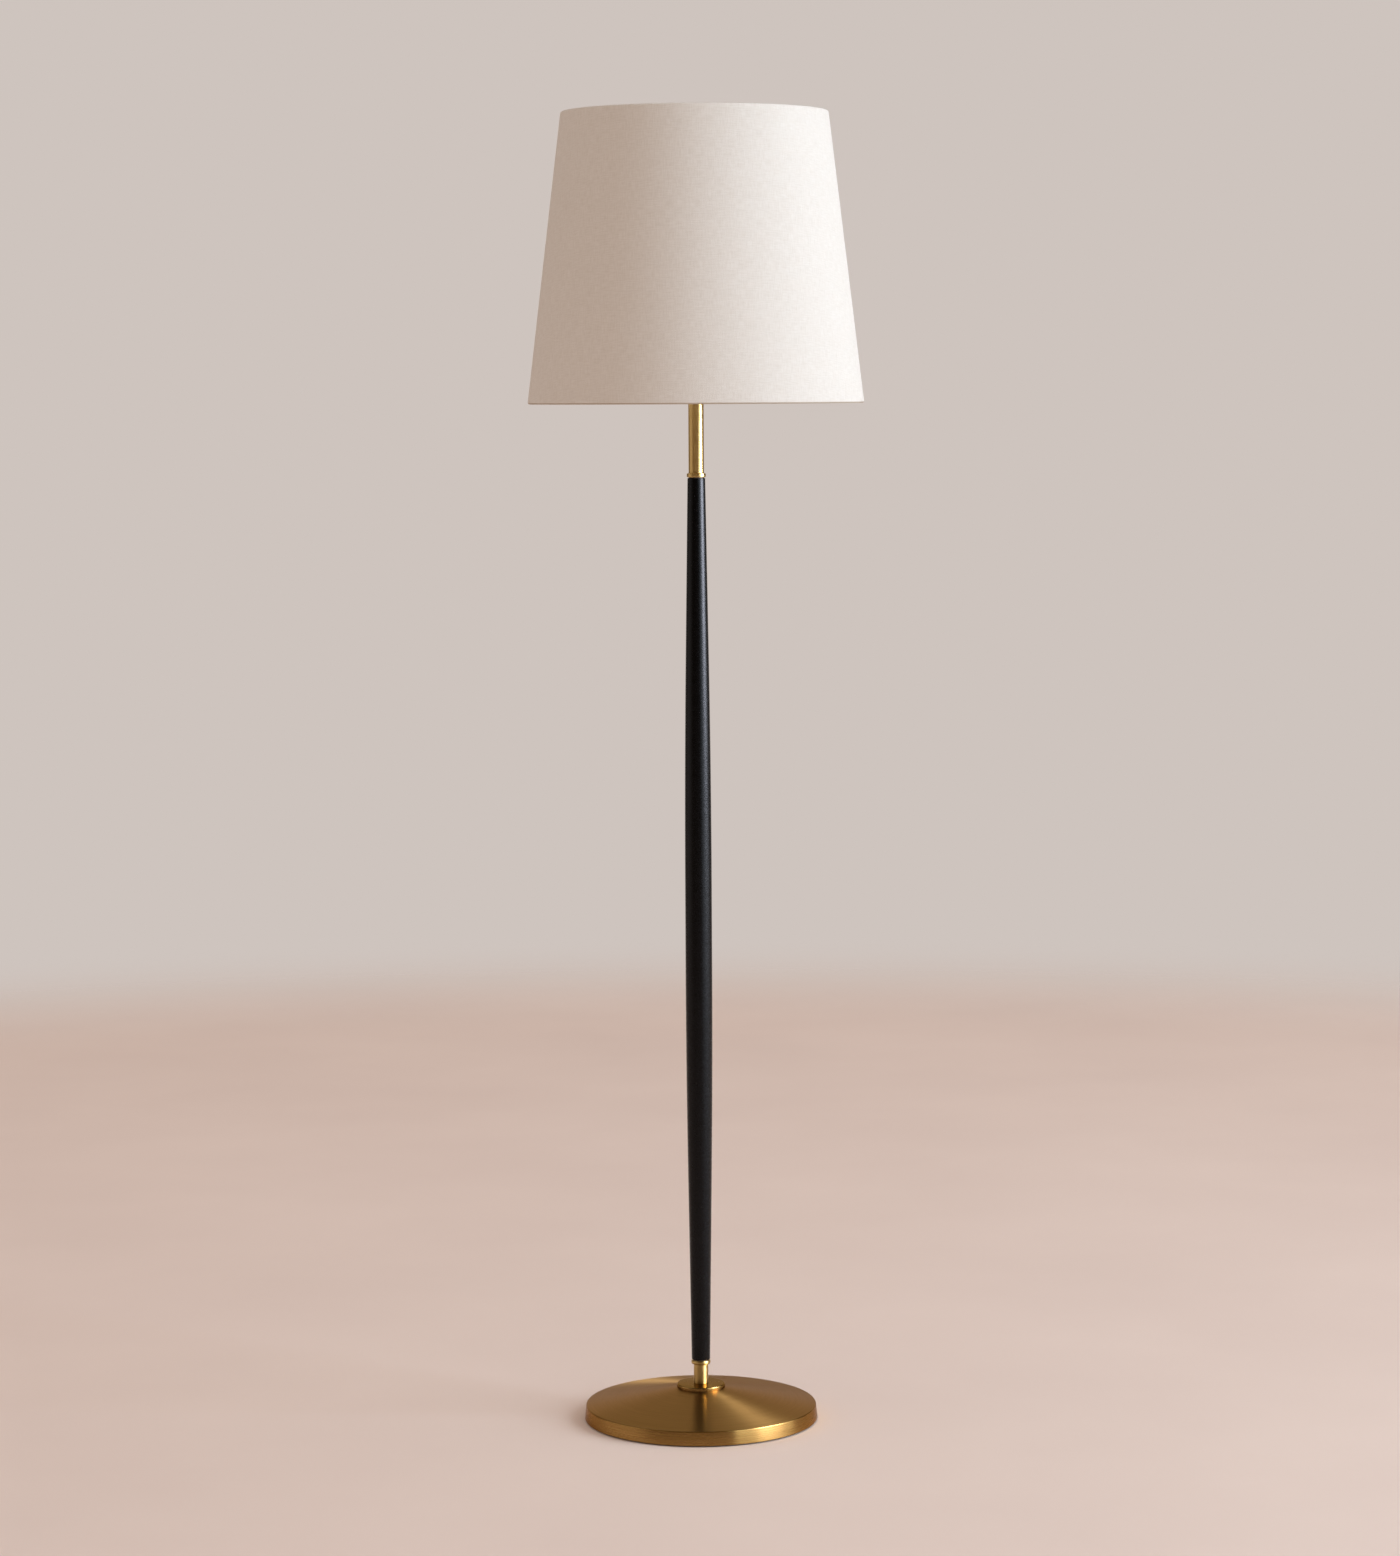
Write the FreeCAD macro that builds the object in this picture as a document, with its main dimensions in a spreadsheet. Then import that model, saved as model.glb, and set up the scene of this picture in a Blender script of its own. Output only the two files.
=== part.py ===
import FreeCAD
import Part
import math
import os
import Sketcher

# Floor lamp: a weighted round base, a leather-covered column on a hollow threaded rod,
# a lampholder with its bulb, and a cone-shaped cloth shade. Millimetres, Z up, with the
# origin on the floor under the middle of the base. The lamp's back is towards +Y.

doc = FreeCAD.newDocument("FloorLamp")

# Driving sizes, by the piece that carries them
SIZES = {
    # Base: pad, closing plate and the spun cover
    "pad_thickness": 2.5,
    "pad_inset": 3.0,
    "plate_thickness": 1.5,
    "plate_clearance": 0.35,
    "rim_lift": 1.5,
    "rim_foot_radius": 140.6,
    "rim_draft": 1.8,
    "rim_height": 16.7,
    "rim_round": 1.6,
    "cone_height": 19.8,
    "shell_wall": 1.2,
    # Base: iron weight with its boss, chamber and cord channel
    "weight_gap": 13.8,
    "weight_thickness": 12.0,
    "boss_wall": 6.0,
    "boss_shoulder": 8.0,
    "boss_seat_inset": 2.0,
    "web_thickness": 12.8,
    "chamber_gap": 1.5,
    "channel_width": 10.0,
    "channel_height": 10.0,
    # Base: fasteners and wiring
    "fit": 0.05,
    "plate_screw_circle": 80.0,
    "plate_screw_radius": 2.0,
    "plate_screw_head_radius": 3.9,
    "plate_screw_length": 11.0,
    "block_depth": 15.0,
    "block_length": 24.0,
    "block_height": 14.0,
    "block_spacing": 3.0,
    "block_post": 5.0,
    "small_screw_radius": 1.5,
    "small_screw_head_radius": 2.8,
    "small_screw_head_height": 2.0,
    "small_screw_grip": 8.0,
    "tag_radius": 4.5,
    "tag_thickness": 0.8,
    "tag_tail": 9.0,
    "bush_bore": 3.3,
    "bush_wall": 1.7,
    "bush_flange": 1.8,
    "bush_flange_thickness": 2.4,
    "bush_length": 15.0,
    # Rod and the nuts that clamp the stack
    "rod_radius": 5.0,
    "rod_bore": 3.6,
    "rod_tail": 1.4,
    "rod_grip": 9.0,
    "rod_clearance": 0.2,
    "nut_flats": 14.0,
    "nut_thickness": 4.0,
    "washer_radius": 14.0,
    "washer_thickness": 2.0,
    "lock_washer_radius": 8.6,
    "lock_washer_thickness": 1.6,
    "cover_washer_thickness": 1.5,
    # Brass between the base and the leather
    "rosette_radius": 29.0,
    "rosette_thickness": 5.1,
    "rosette_round": 1.8,
    "neck_radius": 8.75,
    "neck_length": 23.4,
    "tube_wall": 1.0,
    "spigot_height": 2.0,
    "lower_collar_radius": 11.65,
    "lower_collar_height": 5.0,
    "lower_collar_round": 2.2,
    # Column
    "foot_radius": 11.1,
    "belly_radius": 16.0,
    "crown_radius": 10.6,
    "lower_taper": 355.3,
    "belly_length": 355.3,
    "upper_taper": 355.3,
    "leather_thickness": 1.2,
    "leather_reveal": 0.9,
    "glue_line": 0.1,
    # Brass above the leather
    "upper_collar_radius": 11.5,
    "upper_collar_height": 4.9,
    "upper_collar_round": 1.4,
    "upper_tube_radius": 9.25,
    "upper_tube_length": 97.7,
    # Bulb: 60 mm, with a 27 mm screw cap
    "cap_radius": 13.1,
    "cap_wall": 0.4,
    "cap_height": 19.0,
    "insulator_height": 3.2,
    "contact_radius": 4.6,
    "contact_height": 1.8,
    "neck_share": 1.04,
    "plug_depth": 5.0,
    "throat_height": 5.0,
    "bulb_radius": 30.0,
    "bulb_seam_drop": 10.1,
    "bulb_flank": 41.0,
    "bulb_wall": 1.4,
    "board_thickness": 1.6,
    "board_gap": 0.4,
    "driver_width": 17.0,
    "driver_thickness": 1.2,
    # Lampholder
    "thread_fit": 0.2,
    "thread_wall": 0.5,
    "thread_length": 27.0,
    "thread_flange": 0.6,
    "skirt_air": 2.6,
    "skirt_wall": 3.4,
    "skirt_height": 43.0,
    "skirt_lip": 3.0,
    "skirt_lip_depth": 1.7,
    "holder_neck_radius": 8.0,
    "holder_neck_height": 5.0,
    "holder_bell_height": 12.0,
    "holder_flange": 1.5,
    "holder_wall": 1.6,
    "insert_flange": 3.0,
    "insert_boss": 4.0,
    "insert_depth": 5.0,
    "terminal_radius": 1.8,
    "terminal_height": 2.2,
    "terminal_circle": 9.0,
    "tongue_thickness": 0.5,
    "tongue_width": 5.0,
    "tongue_rise": 1.6,
    "seat_gap": 0.2,
    "grub_radius": 1.5,
    # Rings that clamp the shade
    "ring_bottom": 13.0,
    "ring_width": 7.6,
    "ring_thickness": 7.0,
    "ring_fit": 0.1,
    "ring_round": 1.0,
    # Shade
    "fitter_clearance": 1.0,
    "fitter_width": 7.0,
    "fitter_thickness": 2.0,
    "fitter_height": 61.0,
    "shade_height": 345.0,
    "shade_foot_radius": 200.0,
    "shade_crown_radius": 159.0,
    "cloth_thickness": 0.8,
    "liner_gap": 0.3,
    "liner_thickness": 0.5,
    "wire_radius": 1.5,
    "hem_cloth": 0.6,
    "arm_radius": 1.75,
    "arm_straight": 10.0,
    "arm_bend": 9.0,
    # Inner lead
    "lead_radius": 2.2,
    "lead_bend": 6.5,
    "lead_tail": 1.0,
}

# Heights and radii that follow from the driving sizes, from the floor up
PLACES = {
    "plate_top": "Sizes.pad_thickness + Sizes.plate_thickness",
    "rim_slope": "Sizes.rim_draft / Sizes.rim_height",
    "rim_top_radius": "Sizes.rim_foot_radius - Sizes.rim_draft",
    "weight_radius": "rim_top_radius - Sizes.weight_gap",
    "plate_radius": "Sizes.rim_foot_radius - Sizes.shell_wall - Sizes.plate_clearance"
    " - rim_slope * (plate_top - Sizes.rim_lift)",
    "rim_top": "Sizes.rim_lift + Sizes.rim_height",
    "shell_top": "rim_top + Sizes.cone_height",
    "roof": "shell_top - Sizes.shell_wall",
    "chamber_roof": "roof - Sizes.web_thickness",
    "block_start": "Sizes.washer_radius + Sizes.block_spacing",
    "block_middle": "block_start + Sizes.block_depth / 2",
    "chamber_radius": "Sizes.chamber_gap + sqrt((block_start + Sizes.block_depth)"
    " * (block_start + Sizes.block_depth) + Sizes.block_length * Sizes.block_length / 4)",
    "boss_radius": "chamber_radius + Sizes.boss_wall",
    "block_top": "chamber_roof - Sizes.block_post",
    "tag_start": "Sizes.washer_radius + Sizes.block_spacing + Sizes.tag_radius",
    "bore": "Sizes.rod_radius + Sizes.rod_clearance",
    "lock_washer_top": "chamber_roof - Sizes.washer_thickness",
    "nut_top": "lock_washer_top - Sizes.lock_washer_thickness",
    "nut_bottom": "nut_top - Sizes.nut_thickness",
    "rod_bottom": "nut_bottom - Sizes.rod_tail",
    "cord_height": "Sizes.rim_lift + Sizes.rim_height / 2",
    "bush_radius": "Sizes.bush_bore + Sizes.bush_wall",
    "rim_at_cord": "Sizes.rim_foot_radius - rim_slope * (cord_height - Sizes.rim_lift)",
    "bush_face": "rim_at_cord + Sizes.bush_flange_thickness",
    "bush_start": "bush_face - Sizes.bush_length",
    "rosette_top": "shell_top + Sizes.rosette_thickness",
    "neck_top": "rosette_top + Sizes.neck_length",
    "core_bottom": "neck_top + Sizes.lower_collar_height",
    "belly_bottom": "core_bottom + Sizes.lower_taper",
    "belly_top": "belly_bottom + Sizes.belly_length",
    "core_top": "belly_top + Sizes.upper_taper",
    "core_inset": "Sizes.leather_thickness + Sizes.glue_line",
    "leather_bottom": "core_bottom + Sizes.leather_reveal",
    "leather_top": "core_top - Sizes.leather_reveal",
    "tube_bottom": "core_top + Sizes.upper_collar_height",
    "tube_top": "tube_bottom + Sizes.upper_tube_length",
    "upper_nut_bottom": "tube_top + Sizes.cover_washer_thickness",
    "holder_bottom": "upper_nut_bottom + Sizes.nut_thickness",
    "rod_top": "holder_bottom + Sizes.rod_grip",
    "holder_shoulder": "holder_bottom + Sizes.holder_neck_height + Sizes.holder_bell_height",
    "skirt_bottom": "holder_shoulder + Sizes.holder_flange",
    "thread_inside": "Sizes.cap_radius + Sizes.thread_fit",
    "thread_outside": "thread_inside + Sizes.thread_wall",
    "skirt_inside": "thread_outside + Sizes.skirt_air",
    "skirt_radius": "skirt_inside + Sizes.skirt_wall",
    "spigot_outside": "skirt_inside - Sizes.ring_fit",
    "spigot_inside": "spigot_outside - Sizes.holder_wall",
    "insert_radius": "spigot_inside - Sizes.rod_clearance",
    "insert_seat": "skirt_bottom + Sizes.insert_depth",
    "insert_bottom": "skirt_bottom",
    "thread_bottom": "insert_seat + Sizes.insert_flange",
    "insert_top": "thread_bottom + Sizes.insert_boss",
    "bulb_bottom": "insert_top + Sizes.tongue_thickness + Sizes.tongue_rise + Sizes.seat_gap",
    "cap_bottom": "bulb_bottom + Sizes.contact_height + Sizes.insulator_height",
    "cap_top": "cap_bottom + Sizes.cap_height",
    "bulb_neck": "Sizes.cap_radius * Sizes.neck_share",
    "throat_top": "cap_top + Sizes.throat_height",
    "bulb_seam": "throat_top + Sizes.bulb_flank",
    "bulb_centre": "bulb_seam + Sizes.bulb_seam_drop",
    "seam_radius": "sqrt(Sizes.bulb_radius * Sizes.bulb_radius"
    " - Sizes.bulb_seam_drop * Sizes.bulb_seam_drop)",
    "plug_radius": "Sizes.cap_radius - Sizes.cap_wall",
    "skirt_top": "skirt_bottom + Sizes.skirt_height",
    "lower_ring_bottom": "skirt_bottom + Sizes.ring_bottom",
    "fitter_bottom": "lower_ring_bottom + Sizes.ring_thickness",
    "fitter_top": "fitter_bottom + Sizes.fitter_thickness",
    "fitter_hole": "skirt_radius + Sizes.fitter_clearance",
    "fitter_radius": "fitter_hole + Sizes.fitter_width",
    "ring_bore": "skirt_radius + Sizes.ring_fit",
    "ring_radius": "ring_bore + Sizes.ring_width",
    "shade_bottom": "fitter_top - Sizes.fitter_height",
    "shade_top": "shade_bottom + Sizes.shade_height",
    "roll": "Sizes.wire_radius + Sizes.hem_cloth",
    "foot_wire": "Sizes.shade_foot_radius - roll",
    "crown_wire": "Sizes.shade_crown_radius - roll",
    "foot_wire_height": "shade_bottom + roll",
    "crown_wire_height": "shade_top - roll",
    "shade_slope": "(Sizes.shade_foot_radius - Sizes.shade_crown_radius)"
    " / (crown_wire_height - foot_wire_height)",
    "cloth_bottom": "shade_bottom + 2 * roll",
    "cloth_top": "shade_top - 2 * roll",
    "cloth_foot": "Sizes.shade_foot_radius - shade_slope * roll",
    "cloth_crown": "Sizes.shade_crown_radius + shade_slope * roll",
    "liner_inset": "Sizes.cloth_thickness + Sizes.liner_gap",
    "arm_height": "fitter_bottom + Sizes.fitter_thickness / 2",
    "arm_end": "foot_wire - roll - Sizes.fit",
    "lead_height": "rod_bottom - Sizes.lead_tail - Sizes.lead_bend",
}

PLATE_SCREWS = 3
SPIDER_ARMS = 3
TERMINALS = 2
FULL_TURN = 360
NUT_SIDES = 6


def fill_sheet(name, cells):
    """A sheet with one alias a row: its name in column A, its value in column B."""
    sheet = doc.addObject("Spreadsheet::Sheet", name)
    for row, (alias, value) in enumerate(cells.items(), 1):
        sheet.set(f"A{row}", alias)
        sheet.setAlias(f"B{row}", alias)
        sheet.set(f"B{row}", value)
    return sheet


fill_sheet("Sizes", {alias: str(value) for alias, value in SIZES.items()})
places = fill_sheet("Places", {alias: f"={formula}" for alias, formula in PLACES.items()})
doc.recompute()


def full(formula):
    """A formula with each sheet's name before its aliases."""
    words = []
    word = ""
    for letter in formula + " ":
        if letter.isalnum() or letter in "_.":
            word += letter
            continue
        if word in SIZES:
            word = f"Sizes.{word}"
        elif word in PLACES:
            word = f"Places.{word}"
        words.append(word + letter)
        word = ""
    return "".join(words).strip()


def value(formula):
    """The number that a formula gives."""
    return float(places.evalExpression(full(formula)))


def origin_part(body, role):
    """One of the body's own origin planes or axes."""
    return [part for part in body.Origin.OriginFeatures if part.Role == role][0]


def new_body(label):
    body = doc.addObject("PartDesign::Body", label)
    body.Label = label
    return body


def sketch_on(body, role, height=None):
    """A sketch on an origin plane, or at a height above it."""
    sketch = body.newObject("Sketcher::SketchObject", f"{body.Label}_sketch")
    sketch.AttachmentSupport = [(origin_part(body, role), "")]
    sketch.MapMode = "FlatFace"
    if height:
        sketch.setExpression("AttachmentOffset.Base.z", full(height))
    return sketch


def bind(sketch, constraint, formula):
    number = sketch.addConstraint(constraint)
    sketch.setExpression(f"Constraints[{number}]", full(formula))


def hold_point(sketch, edge, end, across, up):
    """Ties one point of the sketch to its two coordinates."""
    place = (edge, end)
    if across == "0":
        sketch.addConstraint(Sketcher.Constraint("PointOnObject", *place, -2))
    else:
        bind(sketch, Sketcher.Constraint("DistanceX", -1, 1, *place, value(across)), across)
    if up == "0":
        sketch.addConstraint(Sketcher.Constraint("PointOnObject", *place, -1))
    else:
        bind(sketch, Sketcher.Constraint("DistanceY", -1, 1, *place, value(up)), up)


def draw_outline(sketch, points):
    """A closed outline of straight edges, each of its points bound to its formulas."""
    spots = [FreeCAD.Vector(value(across), value(up), 0) for across, up in points]
    edges = [
        sketch.addGeometry(Part.LineSegment(start, end), False)
        for start, end in zip(spots, spots[1:] + spots[:1])
    ]
    for edge, after in zip(edges, edges[1:] + edges[:1]):
        sketch.addConstraint(Sketcher.Constraint("Coincident", edge, 2, after, 1))
    for edge, (across, up) in zip(edges, points):
        hold_point(sketch, edge, 1, across, up)


def draw_bent_wire(sketch, points, bend):
    """Straight runs joined by tangent arcs of one radius, each corner bound to its formulas."""
    spots = [FreeCAD.Vector(value(across), value(up), 0) for across, up in points]
    radius = value(bend)
    arcs = []
    ends = [spots[0]]
    for before, corner, after in zip(spots, spots[1:], spots[2:]):
        back = (before - corner).normalize()
        ahead = (after - corner).normalize()
        half_angle = back.getAngle(ahead) / 2
        reach = radius / math.tan(half_angle)
        centre = corner + (back + ahead).normalize() * (radius / math.sin(half_angle))
        ends += [corner + back * reach, corner + ahead * reach]
        turns_left = ahead.cross(back).z > 0
        first, last = ends[-2:] if turns_left else ends[:-3:-1]
        angles = [math.atan2((end - centre).y, (end - centre).x) for end in (first, last)]
        circle = Part.Circle(centre, FreeCAD.Vector(0, 0, 1), radius)
        arcs.append((Part.ArcOfCircle(circle, *angles), (1, 2) if turns_left else (2, 1)))
    ends.append(spots[-1])
    runs = [
        sketch.addGeometry(Part.LineSegment(start, end), False)
        for start, end in zip(ends[::2], ends[1::2])
    ]
    for run, after, (shape, (arc_start, arc_end)), corner in zip(runs, runs[1:], arcs, points[1:]):
        arc = sketch.addGeometry(shape, False)
        sketch.addConstraint(Sketcher.Constraint("Tangent", run, 2, arc, arc_start))
        sketch.addConstraint(Sketcher.Constraint("Tangent", arc, arc_end, after, 1))
        bind(sketch, Sketcher.Constraint("Radius", arc, radius), bend)
        across, up = corner
        point = sketch.addGeometry(Part.Point(FreeCAD.Vector(value(across), value(up), 0)), True)
        for edge in (run, after):
            sketch.addConstraint(Sketcher.Constraint("PointOnObject", point, 1, edge))
        hold_point(sketch, point, 1, across, up)
    hold_point(sketch, runs[0], 1, *points[0])
    hold_point(sketch, runs[-1], 2, *points[-1])


def draw_circle(sketch, across, up, radius):
    centre = FreeCAD.Vector(value(across), value(up), 0)
    circle = sketch.addGeometry(Part.Circle(centre, FreeCAD.Vector(0, 0, 1), value(radius)), False)
    bind(sketch, Sketcher.Constraint("Radius", circle, value(radius)), radius)
    hold_point(sketch, circle, 3, across, up)


def spin(body, kind, outline, beside=None):
    """A Revolution or Groove about the lamp's axis, or about a line beside it."""
    sketch = sketch_on(body, "XZ_Plane")
    if beside:
        foot, top = outline[0][1], outline[-1][1]
        start = FreeCAD.Vector(value(beside), value(foot), 0)
        end = FreeCAD.Vector(value(beside), value(top), 0)
        line = sketch.addGeometry(Part.LineSegment(start, end), True)
        hold_point(sketch, line, 1, beside, foot)
        hold_point(sketch, line, 2, beside, top)
        outline = [(f"{beside} + {radius}", height) for radius, height in outline]
    draw_outline(sketch, outline)
    feature = body.newObject(f"PartDesign::{kind}", f"{body.Label}_{kind}")
    feature.Profile = sketch
    feature.ReferenceAxis = (sketch, ["Axis0" if beside else "V_Axis"])
    feature.Angle = FULL_TURN
    body.Tip = feature
    doc.recompute()
    return feature


def round_edges(body, corners):
    """Rounds the circular edges at the given corners of a turned piece."""
    for radius, height, rounding in corners:
        feature = body.Tip
        names = []
        for number, edge in enumerate(feature.Shape.Edges, 1):
            curve = edge.Curve
            if not isinstance(curve, Part.Circle):
                continue
            same_size = math.isclose(curve.Radius, value(radius), abs_tol=1e-4)
            same_height = math.isclose(curve.Center.z, value(height), abs_tol=1e-4)
            if same_size and same_height:
                names.append(f"Edge{number}")
        fillet = body.newObject("PartDesign::Fillet", f"{body.Label}_round")
        fillet.Base = (feature, names)
        fillet.setExpression("Radius", full(rounding))
        body.Tip = fillet
        doc.recompute()


def turned(label, outline, corners=()):
    """A piece turned about the lamp's axis, from a closed outline of (radius, height)."""
    body = new_body(label)
    spin(body, "Revolution", outline)
    round_edges(body, corners)
    return body


def repeat(body, feature, count):
    """Copies of a feature, evenly spaced about the lamp's axis."""
    pattern = body.newObject("PartDesign::PolarPattern", f"{body.Label}_pattern")
    pattern.Originals = [feature]
    pattern.Axis = (origin_part(body, "Z_Axis"), [""])
    pattern.Angle = FULL_TURN
    pattern.Occurrences = count
    body.Tip = pattern
    doc.recompute()


def extrude(body, kind, sketch, length, backwards=False):
    """A Pad or a Pocket; a pocket that cuts nothing is an error."""
    before = body.Shape.Volume if kind == "Pocket" else 0
    feature = body.newObject(f"PartDesign::{kind}", f"{body.Label}_{kind}")
    feature.Profile = sketch
    feature.setExpression("Length", full(length))
    feature.Reversed = backwards
    body.Tip = feature
    doc.recompute()
    if kind == "Pocket" and not body.Shape.Volume < before:
        raise RuntimeError(f"a pocket of {body.Label} cuts nothing")
    return feature


def cut_up(body, height, depth, draw, *sizes):
    """A pocket that goes up from a level."""
    sketch = sketch_on(body, "XY_Plane", height)
    draw(sketch, *sizes)
    return extrude(body, "Pocket", sketch, depth, backwards=True)


def rectangle(sketch, left, right, front, back):
    draw_outline(sketch, [(left, front), (right, front), (right, back), (left, back)])


def primitive(kind, name, centre=("0", "0", "0"), rotation=None, **sizes):
    """A primitive solid with its sizes and its place bound to formulas."""
    solid = doc.addObject(f"Part::{kind}", name)
    if rotation:
        solid.Placement = FreeCAD.Placement(FreeCAD.Vector(), rotation)
    for prop, formula in sizes.items():
        solid.setExpression(prop, full(formula))
    for axis, formula in zip("xyz", centre):
        if formula != "0":
            solid.setExpression(f"Placement.Base.{axis}", full(formula))
    return solid


def combined(kind, label, *solids):
    """A cut of two solids, or a fuse of several."""
    if kind == "Cut":
        result = doc.addObject("Part::Cut", label)
        result.Base, result.Tool = solids
    else:
        result = doc.addObject("Part::MultiFuse", label)
        result.Shapes = list(solids)
        result.Refine = True
    result.Label = label
    return result


def washer(label, bottom, thickness, radius, hole="bore"):
    """A flat turned ring."""
    top = f"{bottom} + {thickness}"
    return turned(label, [(hole, bottom), (radius, bottom), (radius, top), (hole, top)])


def nut(label, bottom):
    """A thin hexagon nut on the rod."""
    sides = primitive(
        "Prism",
        f"{label}_sides",
        ("0", "0", bottom),
        Circumradius=f"nut_flats / 2 / cos({FULL_TURN / NUT_SIDES / 2})",
        Height="nut_thickness",
    )
    sides.Polygon = NUT_SIDES
    hole = primitive(
        "Cylinder",
        f"{label}_thread",
        ("0", "0", bottom),
        Radius="rod_radius + fit",
        Height="nut_thickness",
    )
    return combined("Cut", label, sides, hole)


ACROSS = FreeCAD.Rotation(FreeCAD.Vector(0, 1, 0), 90)
BACK = FreeCAD.Rotation(FreeCAD.Vector(1, 0, 0), -90)

# Felt pad: a plain disc glued under the closing plate
pieces = [
    turned(
        "base_pad",
        [
            ("0", "0"),
            ("plate_radius - pad_inset", "0"),
            ("plate_radius - pad_inset", "pad_thickness"),
            ("0", "pad_thickness"),
        ],
    )
]

# Closing plate: a steel disc inside the rim, with countersunk holes for its screws
base_plate = turned(
    "base_plate",
    [
        ("0", "pad_thickness"),
        ("plate_radius", "pad_thickness"),
        ("plate_radius", "plate_top"),
        ("0", "plate_top"),
    ],
)
plate_hole = spin(
    base_plate,
    "Groove",
    [
        ("0", "pad_thickness"),
        ("plate_screw_head_radius + fit", "pad_thickness"),
        ("plate_screw_radius + fit", "plate_top"),
        ("0", "plate_top"),
    ],
    beside="plate_screw_circle",
)
repeat(base_plate, plate_hole, PLATE_SCREWS)
pieces.append(base_plate)

# Plate screws: countersunk heads flush with the plate's underside
screws = new_body("base_plate_screws")
screw = spin(
    screws,
    "Revolution",
    [
        ("0", "pad_thickness"),
        ("plate_screw_head_radius", "pad_thickness"),
        ("plate_screw_radius", "plate_top"),
        ("plate_screw_radius", "pad_thickness + plate_screw_length"),
        ("0", "pad_thickness + plate_screw_length"),
    ],
    beside="plate_screw_circle",
)
repeat(screws, screw, PLATE_SCREWS)
pieces.append(screws)

# Iron weight: a flat disc whose centre boss carries the cover and the rod
base_weight = turned(
    "base_weight",
    [
        ("bore", "chamber_roof"),
        ("chamber_radius", "chamber_roof"),
        ("chamber_radius", "plate_top"),
        ("weight_radius", "plate_top"),
        ("weight_radius", "plate_top + weight_thickness"),
        ("boss_radius", "plate_top + weight_thickness"),
        ("boss_radius", "roof - boss_shoulder"),
        ("rosette_radius - boss_seat_inset", "roof"),
        ("bore", "roof"),
    ],
)
tapped_hole = spin(
    base_weight,
    "Groove",
    [
        ("0", "plate_top"),
        ("plate_screw_radius + fit", "plate_top"),
        ("plate_screw_radius + fit", "pad_thickness + plate_screw_length + fit"),
        ("0", "pad_thickness + plate_screw_length + fit"),
    ],
    beside="plate_screw_circle",
)
repeat(base_weight, tapped_hole, PLATE_SCREWS)
post_sketch = sketch_on(base_weight, "XY_Plane", "block_top")
draw_circle(post_sketch, "block_middle", "0", "block_post")
extrude(base_weight, "Pad", post_sketch, "block_post")
small_hole = "small_screw_radius + fit"
for across, height in (("block_middle", "block_top"), ("0 - tag_start", "chamber_roof")):
    cut_up(base_weight, height, "small_screw_grip + fit", draw_circle, across, "0", small_hole)
cut_up(
    base_weight,
    "plate_top",
    "channel_height",
    rectangle,
    "0 - channel_width / 2",
    "channel_width / 2",
    "chamber_radius - boss_wall",
    "weight_radius + boss_wall",
)
pieces.append(base_weight)

# Cover: spun from brass sheet, with a low rim and a shallow cone up to the rosette's seat
rim_inside = "rim_top_radius - shell_wall"
base_shell = turned(
    "base_shell",
    [
        ("rim_foot_radius - shell_wall", "rim_lift"),
        ("rim_foot_radius", "rim_lift"),
        ("rim_top_radius", "rim_top"),
        ("rosette_radius", "shell_top"),
        ("bore", "shell_top"),
        ("bore", "roof"),
        ("rosette_radius - shell_wall / 4", "roof"),
        (rim_inside, "rim_top - shell_wall"),
    ],
    [("rim_top_radius", "rim_top", "rim_round")],
)
cord_sketch = sketch_on(base_shell, "XZ_Plane")
draw_circle(cord_sketch, "0", "cord_height", "bush_radius + fit")
extrude(base_shell, "Pocket", cord_sketch, "rim_foot_radius + shell_wall")
pieces.append(base_shell)

# Cord bush: a flanged black sleeve in the back of the rim, its flange moulded to the rim
sleeve = primitive(
    "Cylinder",
    "bush_sleeve",
    ("0", "bush_start", "cord_height"),
    BACK,
    Radius="bush_radius",
    Height="bush_length",
)
collar = primitive(
    "Cylinder",
    "bush_collar",
    ("0", "rim_top_radius - shell_wall", "cord_height"),
    BACK,
    Radius="bush_radius + bush_flange",
    Height="bush_face - rim_top_radius + shell_wall",
)
rim_solid = primitive(
    "Cone",
    "rim_solid",
    ("0", "0", "rim_lift"),
    Radius1="rim_foot_radius + fit",
    Radius2="rim_top_radius + fit",
    Height="rim_height",
)
bush_hole = primitive(
    "Cylinder",
    "bush_hole",
    ("0", "bush_start", "cord_height"),
    BACK,
    Radius="bush_bore",
    Height="bush_length",
)
flange = combined("Cut", "bush_flange_solid", collar, rim_solid)
bush_solid = combined("Fuse", "bush_solid", sleeve, flange)
pieces.append(combined("Cut", "cord_bush", bush_solid, bush_hole))

# Terminal block and the screw that holds it to its post in the chamber
terminal_block = new_body("terminal_block")
block_sketch = sketch_on(terminal_block, "XY_Plane", "block_top - block_height")
rectangle(
    block_sketch,
    "block_start",
    "block_start + block_depth",
    "0 - block_length / 2",
    "block_length / 2",
)
extrude(terminal_block, "Pad", block_sketch, "block_height")
cut_up(
    terminal_block,
    "block_top - block_height",
    "block_height",
    draw_circle,
    "block_middle",
    "0",
    small_hole,
)
cut_up(
    terminal_block,
    "block_top - block_height",
    "block_height / 2",
    draw_circle,
    "block_middle",
    "0",
    "small_screw_head_radius + fit",
)
pieces.append(terminal_block)


def small_screw(label, across, seat, tip):
    """A cheese-head screw that points up, with its head under the seat."""
    body = new_body(label)
    head_bottom = f"{seat} - small_screw_head_height"
    outline = [
        ("0", head_bottom),
        ("small_screw_head_radius", head_bottom),
        ("small_screw_head_radius", seat),
        ("small_screw_radius", seat),
        ("small_screw_radius", tip),
        ("0", tip),
    ]
    spin(body, "Revolution", outline, beside=across)
    return body


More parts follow.
